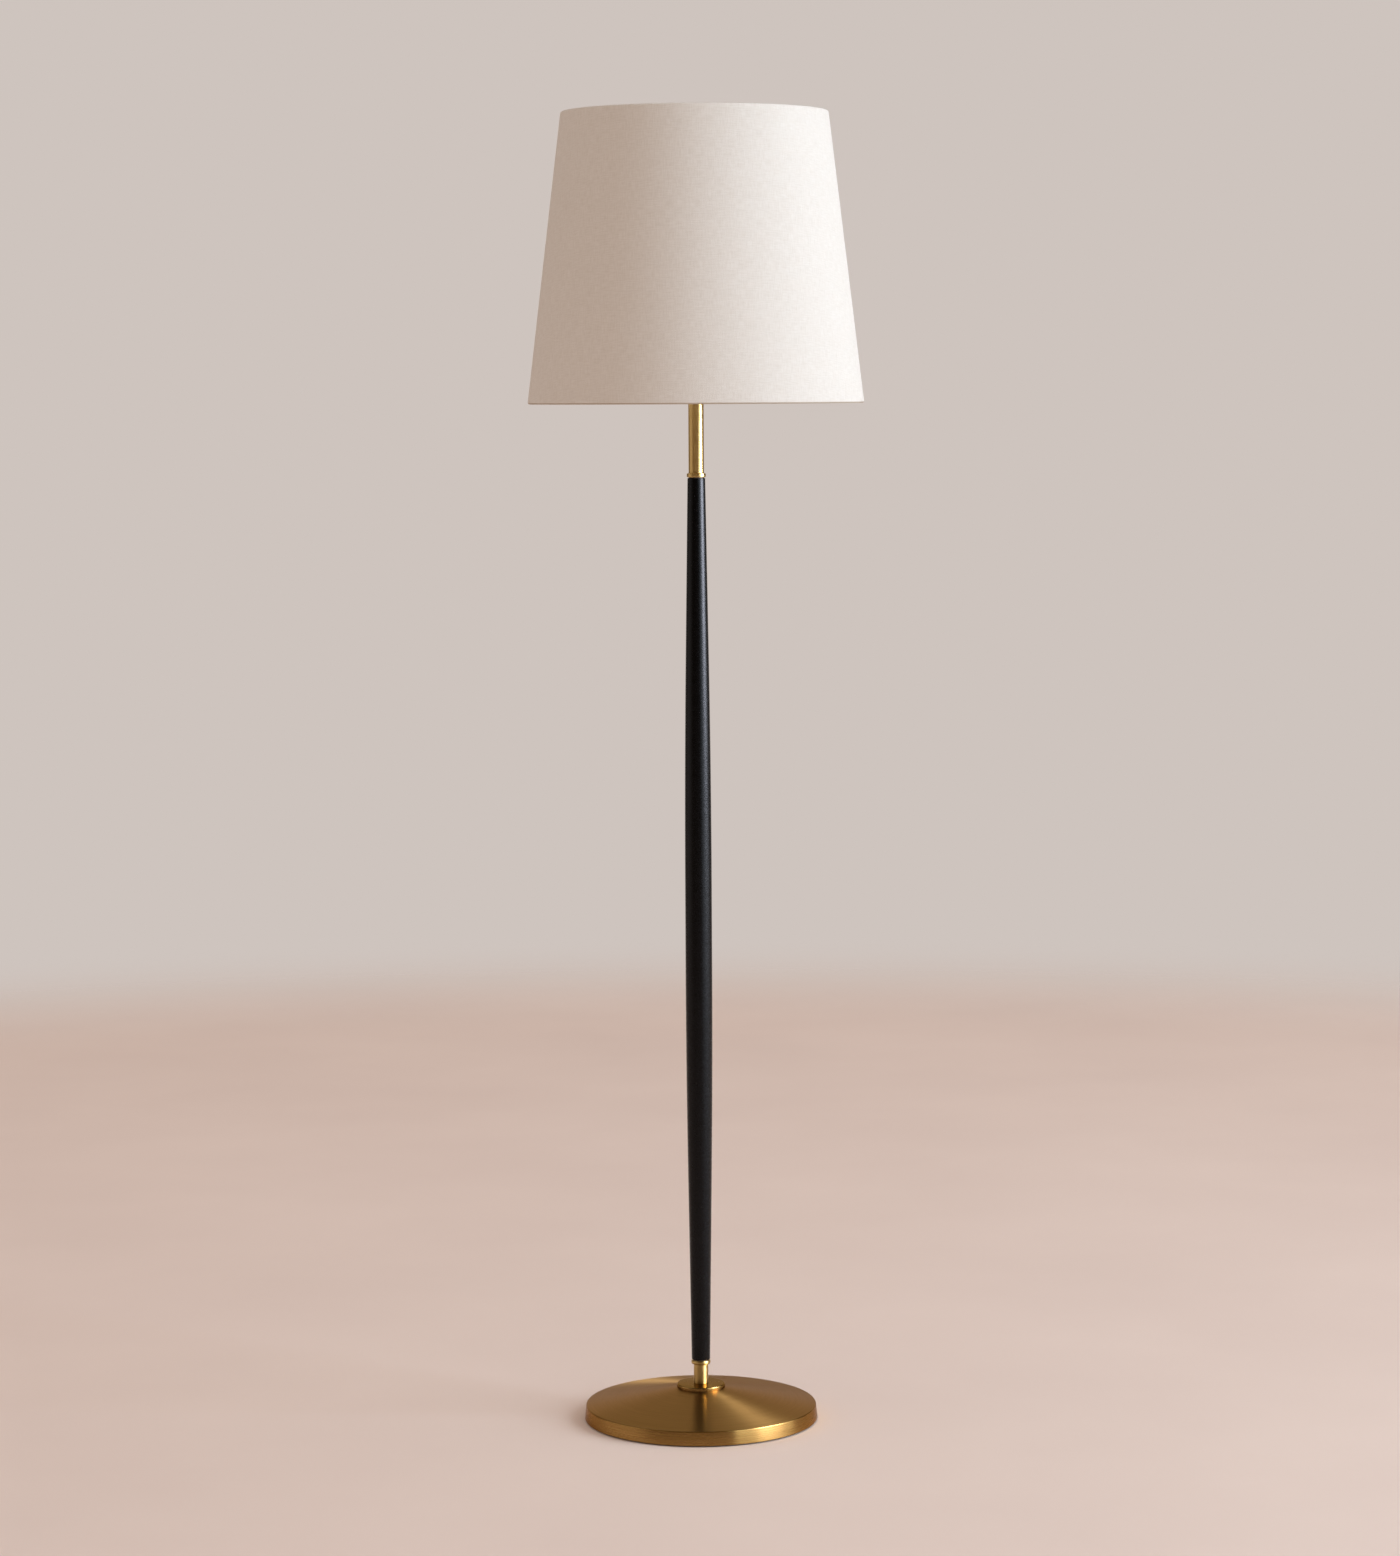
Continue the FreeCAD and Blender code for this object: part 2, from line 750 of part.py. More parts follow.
block_seat = "block_top - block_height / 2"
pieces.append(
    small_screw("terminal_screw", "block_middle", block_seat, "block_top + small_screw_grip")
)

# Earth tag and its screw, on the chamber's roof opposite the block
tag_bottom = "chamber_roof - tag_thickness"
earth_tag = new_body("earth_tag")
tag_sketch = sketch_on(earth_tag, "XY_Plane", tag_bottom)
draw_circle(tag_sketch, "0 - tag_start", "0", "tag_radius")
extrude(earth_tag, "Pad", tag_sketch, "tag_thickness")
tail_sketch = sketch_on(earth_tag, "XY_Plane", tag_bottom)
rectangle(
    tail_sketch,
    "0 - tag_start - tag_radius / 2",
    "tag_radius / 2 - tag_start",
    "tag_radius / 2",
    "tag_tail",
)
extrude(earth_tag, "Pad", tail_sketch, "tag_thickness")
cut_up(earth_tag, tag_bottom, "tag_thickness", draw_circle, "0 - tag_start", "0", small_hole)
pieces.append(earth_tag)
pieces.append(
    small_screw("earth_screw", "0 - tag_start", tag_bottom, "chamber_roof + small_screw_grip")
)

# Washer, lock washer and nut that pull the rod down under the weight
pieces.append(washer("rod_washer_lower", "lock_washer_top", "washer_thickness", "washer_radius"))
pieces.append(washer("rod_lock_washer", "nut_top", "lock_washer_thickness", "lock_washer_radius"))
pieces.append(nut("rod_nut_lower", "nut_bottom"))

# Threaded rod: a hollow steel rod through the whole stack, up into the lampholder
pieces.append(
    turned(
        "threaded_rod",
        [
            ("rod_bore", "rod_bottom"),
            ("rod_radius", "rod_bottom"),
            ("rod_radius", "rod_top"),
            ("rod_bore", "rod_top"),
        ],
    )
)

# Rosette: a thick brass disc on the cover, with a spigot that centres the neck tube
neck_inside = "neck_radius - tube_wall"
pieces.append(
    turned(
        "rosette",
        [
            ("bore", "shell_top"),
            ("rosette_radius", "shell_top"),
            ("rosette_radius", "rosette_top"),
            (f"{neck_inside} - fit", "rosette_top"),
            (f"{neck_inside} - fit", "rosette_top + spigot_height"),
            ("bore", "rosette_top + spigot_height"),
        ],
        [("rosette_radius", "rosette_top", "rosette_round")],
    )
)

# Neck tube: a short brass tube between the rosette and the lower collar
pieces.append(
    turned(
        "neck_tube",
        [
            (neck_inside, "rosette_top"),
            ("neck_radius", "rosette_top"),
            ("neck_radius", "neck_top"),
            (neck_inside, "neck_top"),
        ],
    )
)

# Lower collar: a brass bead under the leather, with a spigot down into the neck tube
pieces.append(
    turned(
        "lower_collar",
        [
            ("bore", "neck_top - spigot_height"),
            (f"{neck_inside} - fit", "neck_top - spigot_height"),
            (f"{neck_inside} - fit", "neck_top"),
            ("lower_collar_radius", "neck_top"),
            ("lower_collar_radius", "core_bottom"),
            ("bore", "core_bottom"),
        ],
        [
            ("lower_collar_radius", "neck_top", "lower_collar_round"),
            ("lower_collar_radius", "core_bottom", "lower_collar_round"),
        ],
    )
)

# Column core: turned timber with a bore for the rod, in three equal lengths that taper,
# run straight and taper again
pieces.append(
    turned(
        "column_core",
        [
            ("bore", "core_bottom"),
            ("foot_radius - core_inset", "core_bottom"),
            ("belly_radius - core_inset", "belly_bottom"),
            ("belly_radius - core_inset", "belly_top"),
            ("crown_radius - core_inset", "core_top"),
            ("bore", "core_top"),
        ],
    )
)

# Leather sleeve: it follows the core and stops short of both collars
lower_lean = "leather_reveal * (belly_radius - foot_radius) / lower_taper"
upper_lean = "leather_reveal * (belly_radius - crown_radius) / upper_taper"
outside = [
    (f"foot_radius + {lower_lean}", "leather_bottom"),
    ("belly_radius", "belly_bottom"),
    ("belly_radius", "belly_top"),
    (f"crown_radius + {upper_lean}", "leather_top"),
]
inside = [(f"{radius} - leather_thickness", height) for radius, height in outside]
pieces.append(turned("column_leather", outside + inside[::-1]))

# Upper collar: a rounded brass ring on top of the leather, spigot up into the tube
upper_inside = "upper_tube_radius - tube_wall"
pieces.append(
    turned(
        "upper_collar",
        [
            ("bore", "core_top"),
            ("upper_collar_radius", "core_top"),
            ("upper_collar_radius", "tube_bottom"),
            (f"{upper_inside} - fit", "tube_bottom"),
            (f"{upper_inside} - fit", "tube_bottom + spigot_height"),
            ("bore", "tube_bottom + spigot_height"),
        ],
        [
            ("upper_collar_radius", "core_top", "upper_collar_round"),
            ("upper_collar_radius", "tube_bottom", "upper_collar_round"),
        ],
    )
)

# Upper tube: polished brass up into the shade, closed by a washer with a spigot and a nut
pieces.append(
    turned(
        "upper_tube",
        [
            (upper_inside, "tube_bottom"),
            ("upper_tube_radius", "tube_bottom"),
            ("upper_tube_radius", "tube_top"),
            (upper_inside, "tube_top"),
        ],
    )
)
pieces.append(
    turned(
        "rod_washer_upper",
        [
            ("bore", "tube_top - spigot_height"),
            (f"{upper_inside} - fit", "tube_top - spigot_height"),
            (f"{upper_inside} - fit", "tube_top"),
            ("upper_tube_radius", "tube_top"),
            ("upper_tube_radius", "upper_nut_bottom"),
            ("bore", "upper_nut_bottom"),
        ],
    )
)
pieces.append(nut("rod_nut_upper", "upper_nut_bottom"))

# Lampholder cap: a bell on the rod's end, with a spigot that the skirt screws onto
cap_thread = "rod_radius + fit"
neck_end = "holder_bottom + holder_neck_height"
holder_cap = turned(
    "lampholder_cap",
    [
        (cap_thread, "holder_bottom"),
        ("holder_neck_radius", "holder_bottom"),
        ("holder_neck_radius", neck_end),
        ("skirt_radius - holder_flange", "holder_shoulder"),
        ("skirt_radius - holder_flange", "skirt_bottom"),
        ("spigot_outside", "skirt_bottom"),
        ("spigot_outside", "insert_seat"),
        ("spigot_inside", "insert_seat"),
        ("spigot_inside", "holder_shoulder"),
        ("holder_neck_radius - holder_wall", f"{neck_end} + 2 * holder_wall"),
        (cap_thread, f"{neck_end} + 2 * holder_wall"),
    ],
)
grub_height = "holder_bottom + holder_neck_height / 2"
grub_sketch = sketch_on(holder_cap, "XZ_Plane")
draw_circle(grub_sketch, "0", grub_height, "grub_radius + fit")
extrude(holder_cap, "Pocket", grub_sketch, "holder_neck_radius + holder_wall")
pieces.append(holder_cap)
pieces.append(
    primitive(
        "Cylinder",
        "lampholder_grub_screw",
        ("0", "rod_radius + fit", grub_height),
        BACK,
        Radius="grub_radius",
        Height="holder_neck_radius - rod_radius",
    )
)

# Lampholder insert: a ceramic block clamped between the cap's spigot and the skirt
pieces.append(
    turned(
        "lampholder_insert",
        [
            ("0", "insert_bottom"),
            ("insert_radius", "insert_bottom"),
            ("insert_radius", "insert_seat"),
            ("skirt_inside - fit", "insert_seat"),
            ("skirt_inside - fit", "thread_bottom"),
            ("thread_inside - ring_fit", "thread_bottom"),
            ("thread_inside - ring_fit", "insert_top"),
            ("0", "insert_top"),
        ],
    )
)
terminals = new_body("lampholder_terminals")
terminal = spin(
    terminals,
    "Revolution",
    [
        ("0", "insert_bottom - terminal_height"),
        ("terminal_radius", "insert_bottom - terminal_height"),
        ("terminal_radius", "insert_bottom"),
        ("0", "insert_bottom"),
    ],
    beside="terminal_circle",
)
repeat(terminals, terminal, TERMINALS)
pieces.append(terminals)

# Centre contact: a springy bronze tongue on the insert that rises under the bulb
contact = new_body("lampholder_contact")
tongue_sketch = sketch_on(contact, "XZ_Plane", "0 - tongue_width / 2")
draw_outline(
    tongue_sketch,
    [
        ("0 - contact_radius * 2", "insert_top"),
        ("0 - contact_radius / 2", "insert_top"),
        ("contact_radius", "insert_top + tongue_rise"),
        ("contact_radius", "insert_top + tongue_rise + tongue_thickness"),
        ("0 - contact_radius / 2", "insert_top + tongue_thickness"),
        ("0 - contact_radius * 2", "insert_top + tongue_thickness"),
    ],
)
extrude(contact, "Pad", tongue_sketch, "tongue_width")
pieces.append(contact)

# Screw shell: the brass thread that the bulb turns into
pieces.append(
    turned(
        "lampholder_thread",
        [
            ("thread_inside", "thread_bottom"),
            ("thread_outside + skirt_air / 2", "thread_bottom"),
            ("thread_outside + skirt_air / 2", "thread_bottom + thread_flange"),
            ("thread_outside", "thread_bottom + thread_flange"),
            ("thread_outside", "thread_bottom + thread_length"),
            ("thread_inside", "thread_bottom + thread_length"),
        ],
    )
)

# Skirt: a black sleeve over the insert, threaded outside for the two shade rings
lip_inside = "skirt_inside - skirt_lip_depth"
pieces.append(
    turned(
        "lampholder_skirt",
        [
            ("skirt_inside", "skirt_bottom"),
            ("skirt_radius", "skirt_bottom"),
            ("skirt_radius", "skirt_top"),
            (lip_inside, "skirt_top"),
            (lip_inside, "skirt_top - skirt_lip"),
            ("skirt_inside", "skirt_top - skirt_lip"),
        ],
    )
)

# Shade rings: one under and one over the shade's fitter ring
for label, bottom in (
    ("shade_ring_lower", "lower_ring_bottom"),
    ("shade_ring_upper", "fitter_top"),
):
    ring_top = f"{bottom} + ring_thickness"
    ring = washer(label, bottom, "ring_thickness", "ring_radius", hole="ring_bore")
    round_edges(ring, [("ring_radius", bottom, "ring_round"), ("ring_radius", ring_top, "ring_round")])
    pieces.append(ring)

# Inner lead: down the rod, round one bend in the chamber and into the terminal block
lead_run = primitive(
    "Cylinder",
    "lead_run",
    ("0", "0", "lead_height + lead_bend"),
    Radius="lead_radius",
    Height="insert_bottom - lead_height - lead_bend",
)
LEAD_TURN = BACK.inverted().multiply(FreeCAD.Rotation(FreeCAD.Vector(0, 0, 1), 180))
lead_corner = primitive(
    "Torus",
    "lead_corner",
    ("lead_bend", "0", "lead_height + lead_bend"),
    LEAD_TURN,
    Radius1="lead_bend",
    Radius2="lead_radius",
)
lead_corner.Angle3 = FULL_TURN / 4
lead_end = primitive(
    "Cylinder",
    "lead_end",
    ("lead_bend", "0", "lead_height"),
    ACROSS,
    Radius="lead_radius",
    Height="block_start - lead_bend",
)
pieces.append(combined("Fuse", "lead", lead_run, lead_corner, lead_end))

# Shade: cloth outside, stiff liner inside, straight sides between the two hems
for label, inset, thickness in (
    ("shade_fabric", "0", "cloth_thickness"),
    ("shade_liner", "liner_inset", "liner_thickness"),
):
    pieces.append(
        turned(
            label,
            [
                (f"cloth_foot - {inset} - {thickness}", "cloth_bottom"),
                (f"cloth_foot - {inset}", "cloth_bottom"),
                (f"cloth_crown - {inset}", "cloth_top"),
                (f"cloth_crown - {inset} - {thickness}", "cloth_top"),
            ],
        )
    )

# Hems and wires: the cloth is rolled over a steel ring at each edge
for end, radius, height in (
    ("top", "crown_wire", "crown_wire_height"),
    ("bottom", "foot_wire", "foot_wire_height"),
):
    outer = primitive("Torus", f"roll_{end}", ("0", "0", height), Radius1=radius, Radius2="roll")
    inner = primitive(
        "Torus", f"core_{end}", ("0", "0", height), Radius1=radius, Radius2="wire_radius + ring_fit"
    )
    pieces.append(combined("Cut", f"hem_{end}", outer, inner))
    wire = primitive(
        "Torus", f"wire_{end}", ("0", "0", height), Radius1=radius, Radius2="wire_radius"
    )
    pieces.append(wire)

# Fitter ring and spider arms: the arms slope down from the ring to the bottom hem
pieces.append(
    washer("fitter_ring", "fitter_bottom", "fitter_thickness", "fitter_radius", hole="fitter_hole")
)
arms = new_body("spider_arms")
arm_path = sketch_on(arms, "XZ_Plane")
draw_bent_wire(
    arm_path,
    [
        ("fitter_radius", "arm_height"),
        ("fitter_radius + arm_straight", "arm_height"),
        ("arm_end - arm_straight", "foot_wire_height"),
        ("arm_end", "foot_wire_height"),
    ],
    "arm_bend",
)
arm_section = sketch_on(arms, "YZ_Plane", "fitter_radius")
draw_circle(arm_section, "0", "arm_height", "arm_radius")
doc.recompute()
arm = arms.newObject("PartDesign::AdditivePipe", "spider_arm")
arm.Profile = arm_section
arm.Spine = arm_path
arms.Tip = arm
doc.recompute()
repeat(arms, arm, SPIDER_ARMS)
pieces.append(arms)

# Bulb cap: a plated screw cap with its insulator and centre contact
pieces.append(
    turned(
        "bulb_contact",
        [
            ("0", "bulb_bottom"),
            ("contact_radius", "bulb_bottom"),
            ("contact_radius", "bulb_bottom + contact_height"),
            ("0", "bulb_bottom + contact_height"),
        ],
    )
)
pieces.append(
    turned(
        "bulb_insulator",
        [
            ("0", "bulb_bottom + contact_height"),
            ("contact_radius", "bulb_bottom + contact_height"),
            ("plug_radius", "cap_bottom"),
            ("0", "cap_bottom"),
        ],
    )
)
pieces.append(
    turned(
        "bulb_cap",
        [
            ("plug_radius", "cap_bottom"),
            ("cap_radius", "cap_bottom"),
            ("cap_radius", "cap_top"),
            ("plug_radius", "cap_top"),
        ],
    )
)

# Bulb housing: a white plastic cone plugged into the cap, open at the top for the board
board_bottom = "bulb_seam - board_thickness"
pieces.append(
    turned(
        "bulb_housing",
        [
            ("plug_radius - bulb_wall", "cap_top - plug_depth"),
            ("plug_radius - fit", "cap_top - plug_depth"),
            ("plug_radius - fit", "cap_top"),
            ("bulb_neck", "cap_top"),
            ("bulb_neck", "throat_top"),
            ("seam_radius", "bulb_seam"),
            ("seam_radius - bulb_wall", "bulb_seam"),
            ("bulb_neck - bulb_wall", "throat_top"),
            ("plug_radius - bulb_wall", "cap_top"),
        ],
    )
)

# Bulb dome: the opal part of a sphere above the housing, hollow inside
globe = primitive("Sphere", "globe", ("0", "0", "bulb_centre"), Radius="bulb_radius")
hollow = primitive("Sphere", "hollow", ("0", "0", "bulb_centre"), Radius="bulb_radius - bulb_wall")
below = primitive(
    "Cylinder",
    "below",
    ("0", "0", "bulb_seam - bulb_radius"),
    Radius="bulb_radius * 2",
    Height="bulb_radius",
)
globe_shell = combined("Cut", "globe_shell", globe, hollow)
pieces.append(combined("Cut", "bulb_dome", globe_shell, below))

# Light board and the driver board that stands under it in the housing
pieces.append(
    turned(
        "bulb_board",
        [
            ("0", board_bottom),
            ("seam_radius - 2 * bulb_wall - board_gap", board_bottom),
            ("seam_radius - 2 * bulb_wall - board_gap", "bulb_seam"),
            ("0", "bulb_seam"),
        ],
    )
)
driver = primitive(
    "Box",
    "bulb_driver",
    ("0 - driver_width / 2", "0 - driver_thickness / 2", "cap_bottom"),
    Length="driver_width",
    Width="driver_thickness",
    Height=f"{board_bottom} - cap_bottom",
)
pieces.append(driver)

# Check the whole model before anything is written
doc.recompute()
for thing in doc.Objects:
    if "Invalid" in thing.State or "Error" in thing.State:
        raise RuntimeError(f"{thing.Label} failed: {thing.State}")
os.makedirs("parts", exist_ok=True)
for piece in pieces:
    if piece.Shape.isNull() or not piece.Shape.isValid():
        raise RuntimeError(f"{piece.Label} has no valid shape")
for piece in pieces:
    piece.Shape.exportStep(os.path.join("parts", f"{piece.Label}.step"))
    print(f"{piece.Label:24s}{len(piece.Shape.Solids):3d} solid{piece.Shape.Volume:14.1f} mm3")
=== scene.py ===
import math

import bmesh
import bpy
from mathutils import Matrix, Vector


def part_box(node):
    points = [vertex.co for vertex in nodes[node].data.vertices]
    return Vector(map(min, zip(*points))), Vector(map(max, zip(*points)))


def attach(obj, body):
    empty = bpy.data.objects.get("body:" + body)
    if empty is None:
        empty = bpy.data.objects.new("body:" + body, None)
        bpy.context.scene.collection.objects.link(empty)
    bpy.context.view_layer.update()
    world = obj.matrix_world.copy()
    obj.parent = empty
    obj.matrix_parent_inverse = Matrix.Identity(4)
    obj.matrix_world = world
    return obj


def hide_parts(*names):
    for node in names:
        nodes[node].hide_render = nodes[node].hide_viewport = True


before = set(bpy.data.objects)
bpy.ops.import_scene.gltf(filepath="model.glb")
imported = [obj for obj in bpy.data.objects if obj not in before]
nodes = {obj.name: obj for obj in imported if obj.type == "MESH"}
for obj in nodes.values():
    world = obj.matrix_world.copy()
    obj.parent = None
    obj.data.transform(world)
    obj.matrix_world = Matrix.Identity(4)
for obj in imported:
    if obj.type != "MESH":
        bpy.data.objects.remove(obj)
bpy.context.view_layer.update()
scene = bpy.context.scene

# Camera: at the photograph's viewing angle, about level with the foot of the shade and tipped
# a little down, and rolled a little because the lamp leans to the left in the photograph.
IMAGE_HEIGHT = 1556
FOCAL_LENGTH_PIXELS = 4077.0
SENSOR_HEIGHT = 36.0
CAMERA_ASIDE = 0.0032
CAMERA_DISTANCE = 4.863
CAMERA_HEIGHT = 1.242
CAMERA_TIP = math.radians(3.926)
CAMERA_ROLL = math.radians(-0.3)
CAMERA_SHIFT = -0.07


def add_object(name, data):
    """A new object in the scene."""
    thing = bpy.data.objects.new(name, data)
    scene.collection.objects.link(thing)
    return thing


camera_data = bpy.data.cameras.new("photo_camera")
camera_data.sensor_width = SENSOR_HEIGHT
camera_data.lens = SENSOR_HEIGHT * FOCAL_LENGTH_PIXELS / IMAGE_HEIGHT
camera_data.shift_y = CAMERA_SHIFT
camera = add_object("photo_camera", camera_data)
camera.matrix_world = (
    Matrix.Translation((CAMERA_ASIDE, -CAMERA_DISTANCE, CAMERA_HEIGHT))
    @ Matrix.Rotation(math.pi / 2 - CAMERA_TIP, 4, "X")
    @ Matrix.Rotation(CAMERA_ROLL, 4, "Z")
)
scene.camera = camera
scene.view_settings.view_transform = "Standard"

# Studio: a pale backdrop, even warm light from all round and cool daylight from a window on the
# right. What shines sees a room with a dim, warm front and dim corners behind the lamp, which
# give the brass its dark middle and edges, and a wider window with a brighter pane closer by.
BACKDROP = (0.617, 0.552, 0.515, 1)
ROOM_LIGHT = (0.556, 0.457, 0.40, 1)
ROOM_IN_FRONT = (0.075, 0.052, 0.020, 1)
ROOM_CORNERS = (0.12, 0.10, 0.08, 1)
ROOM_ROUND = (
    (0.17, ROOM_IN_FRONT),
    (0.33, BACKDROP),
    (0.64, BACKDROP),
    (0.73, ROOM_CORNERS),
    (0.88, ROOM_CORNERS),
    (0.95, BACKDROP),
)
OVERHEAD_FROM, OVERHEAD_TO = 0.2, 0.7
DIM_OVERHEAD = 0.8


def add_node(tree, kind, inputs=None, **settings):
    """A node. Each input is a plain value or the output that feeds it."""
    node = tree.nodes.new(kind)
    for name, choice in settings.items():
        setattr(node, name, choice)
    for socket, source in (inputs or {}).items():
        if isinstance(source, bpy.types.NodeSocket):
            tree.links.new(source, node.inputs[socket])
        else:
            node.inputs[socket].default_value = source
    return node


def add(tree, kind, inputs=None, output=0, **settings):
    """One output of a new node."""
    return add_node(tree, kind, inputs, **settings).outputs[output]


def calculate(tree, operation, *numbers):
    """A sum of plain numbers and outputs."""
    return add(tree, "ShaderNodeMath", dict(enumerate(numbers)), operation=operation)


def calculate_vector(tree, operation, *vectors):
    """A sum of places and directions. A length comes out as a number."""
    output = "Value" if operation == "LENGTH" else "Vector"
    return add(tree, "ShaderNodeVectorMath", dict(enumerate(vectors)), output, operation=operation)


def split(tree, vector):
    """The X, Y and Z of a vector."""
    return add_node(tree, "ShaderNodeSeparateXYZ", {0: vector}).outputs


def spread(tree, value, start, end, low=0, high=1, curve="LINEAR"):
    """Goes from low to high as the value goes from start to end."""
    return add(
        tree,
        "ShaderNodeMapRange",
        {"Value": value, "From Min": start, "From Max": end, "To Min": low, "To Max": high},
        interpolation_type=curve,
    )


def ramp(tree, pattern, stops):
    """A colour that changes with the pattern, by its stops (place, colour)."""
    node = add_node(tree, "ShaderNodeValToRGB", {0: pattern})
    elements = node.color_ramp.elements
    for place, colour in stops[2:]:
        elements.new(place)
    for element, (place, colour) in zip(elements, stops):
        element.position = place
        element.color = colour
    return node.outputs[0]


world = bpy.data.worlds.new("studio")
scene.world = world
world.use_nodes = True
tree = world.node_tree
tree.nodes.clear()
direction = add(tree, "ShaderNodeTexCoord", output="Generated")
level = calculate_vector(tree, "MULTIPLY", direction, (1, 1, 0))
to_back = split(tree, calculate_vector(tree, "NORMALIZE", level))["Y"]
from_front = calculate(tree, "MULTIPLY_ADD", to_back, 0.5, 0.5)
seen_room = ramp(tree, from_front, ROOM_ROUND)
upward = split(tree, direction)["Z"]
overhead = spread(tree, upward, OVERHEAD_FROM, OVERHEAD_TO, 1, DIM_OVERHEAD, "SMOOTHSTEP")
ray = add_node(tree, "ShaderNodeLightPath").outputs
room = add(tree, "ShaderNodeBackground", {"Color": ROOM_LIGHT})
mirrored = add(tree, "ShaderNodeBackground", {"Color": seen_room, "Strength": overhead})
backdrop = add(tree, "ShaderNodeBackground", {"Color": BACKDROP})
unseen = add(tree, "ShaderNodeMixShader", {0: ray["Is Glossy Ray"], 1: room, 2: mirrored})
straight = calculate(tree, "MAXIMUM", ray["Is Camera Ray"], ray["Is Transmission Ray"])
surface = add(tree, "ShaderNodeMixShader", {0: straight, 1: unseen, 2: backdrop})
add_node(tree, "ShaderNodeOutputWorld", {"Surface": surface})

WINDOW = {"distance": 5.4, "bottom": 0.05, "top": 6.6, "colour": (0.745, 0.88, 1.0)}
PANE = {"distance": 2.45, "bottom": 0.8, "top": 2.3, "colour": (0.80, 0.84, 1.0)}


def window(name, azimuth, width, power, distance, bottom, top, colour):
    """An upright sheet of light that faces the lamp, its azimuth counted from the camera."""
    data = bpy.data.lights.new(name, "AREA")
    data.shape = "RECTANGLE"
    data.size = width
    data.size_y = top - bottom
    data.energy = power
    data.color = colour
    light = add_object(name, data)
    turn = math.radians(azimuth)
    light.location = (distance * math.sin(turn), -distance * math.cos(turn), (bottom + top) / 2)
    light.rotation_euler = (math.pi / 2, 0, turn)
    light.visible_camera = False
    return light


daylight = window("daylight", azimuth=71, width=2.9, power=321.0, **WINDOW)
daylight.visible_glossy = False
for only_mirrored in (
    window("mirrored_window", azimuth=68, width=7.3, power=480.0, **WINDOW),
    window("bright_pane", azimuth=75, width=1.25, power=187.0, **PANE),
):
    only_mirrored.visible_diffuse = False
    only_mirrored.visible_transmission = False

# Floor: a plain pale floor that fades into the backdrop a few metres from the lamp. It takes
# the lamp's shadow.
FLOOR_HALF = 6.0
FLOOR_DROP = 0.0001
FLOOR_CORNERS = ((-1, -1), (1, -1), (1, 1), (-1, 1))
FLOOR_FADE_FROM, FLOOR_FADE_TO = 2.9, 4.4
# Most of any noise lies between these two levels.
NOISE_LOW, NOISE_HIGH = 0.3, 0.7


def new_finish(name, **values):
    """A material on the Principled shader, its even values set on the shader's own sockets."""
    finish = bpy.data.materials.new(name)
    finish.use_nodes = True
    sockets = finish.node_tree.nodes["Principled BSDF"].inputs
    for socket, number in values.items():
        sockets[socket.replace("_", " ")].default_value = number
    return finish


def feed(finish, socket, source):
    """Lets an output set one socket of the finish's shader."""
    tree = finish.node_tree
    tree.links.new(source, tree.nodes["Principled BSDF"].inputs[socket])


def own_place(finish):
    """The piece's own coordinates, in metres."""
    return add(finish.node_tree, "ShaderNodeTexCoord", output="Object")


def scaled(finish, place, factors):
    """A place with each coordinate multiplied by its factor."""
    return calculate_vector(finish.node_tree, "MULTIPLY", place, factors)


def noise(finish, size, stretch=(1, 1, 1), detail=3.0, place=None):
    """Cloudy noise with features of the given size, longer where stretch is larger."""
    spots = scaled(finish, place or own_place(finish), [1 / (size * long) for long in stretch])
    look = {"Vector": spots, "Scale": 1.0, "Detail": detail}
    return add(finish.node_tree, "ShaderNodeTexNoise", look)


def tint(finish, pattern, dark, light, low=NOISE_LOW, high=NOISE_HIGH):
    """Colours the finish between two colours, by a pattern."""
    stops = ((low, (*dark, 1)), (high, (*light, 1)))
    feed(finish, "Base Color", ramp(finish.node_tree, pattern, stops))


def vary_roughness(finish, pattern, low, high):
    """Makes the finish smoother and rougher, by a pattern."""
    level = spread(finish.node_tree, pattern, NOISE_LOW, NOISE_HIGH, low, high)
    feed(finish, "Roughness", level)


def emboss(finish, pattern, depth):
    """Raises the surface by a pattern, over any relief that the finish already has."""
    normal = finish.node_tree.nodes["Principled BSDF"].inputs["Normal"]
    relief = {"Height": pattern, "Distance": depth}
    if normal.is_linked:
        relief["Normal"] = normal.links[0].from_socket
    feed(finish, "Normal", add(finish.node_tree, "ShaderNodeBump", relief))


def grained(name, colours, clouds, roughness, patches, depth=None, grain=None, **values):
    """A finish of cloudy colour and patchy gloss, and a grain of the given depth if any.

    clouds, patches and grain are a noise each: its size alone, or all that noise takes.
    """
    finish = new_finish(name, **values)
    kinds = [{"size": kind} if isinstance(kind, float) else kind for kind in (clouds, patches, grain)]
    tint(finish, noise(finish, **kinds[0]), *colours)
    vary_roughness(finish, noise(finish, **kinds[1]), *roughness)
    if depth:
        emboss(finish, noise(finish, **kinds[2]), depth)
    return finish


floor_mesh = bpy.data.meshes.new("floor")
floor_points = [(x * FLOOR_HALF, y * FLOOR_HALF, -FLOOR_DROP) for x, y in FLOOR_CORNERS]
floor_mesh.from_pydata(floor_points, [], [range(len(floor_points))])
floor = add_object("floor", floor_mesh)
floor_finish = grained(
    "pale_floor",
    colours=((0.89, 0.765, 0.70), (0.93, 0.805, 0.736)),
    clouds=0.5,
    roughness=(0.8, 0.9),
    patches=0.08,
    Specular_IOR_Level=0.06,
)
tree = floor_finish.node_tree
distance = calculate_vector(tree, "LENGTH", own_place(floor_finish))
fade = spread(tree, distance, FLOOR_FADE_FROM, FLOOR_FADE_TO, curve="SMOOTHERSTEP")
from_below = add(tree, "ShaderNodeNewGeometry", output="Backfacing")
hidden = calculate(tree, "MAXIMUM", fade, from_below)
solid = tree.nodes["Principled BSDF"].outputs[0]
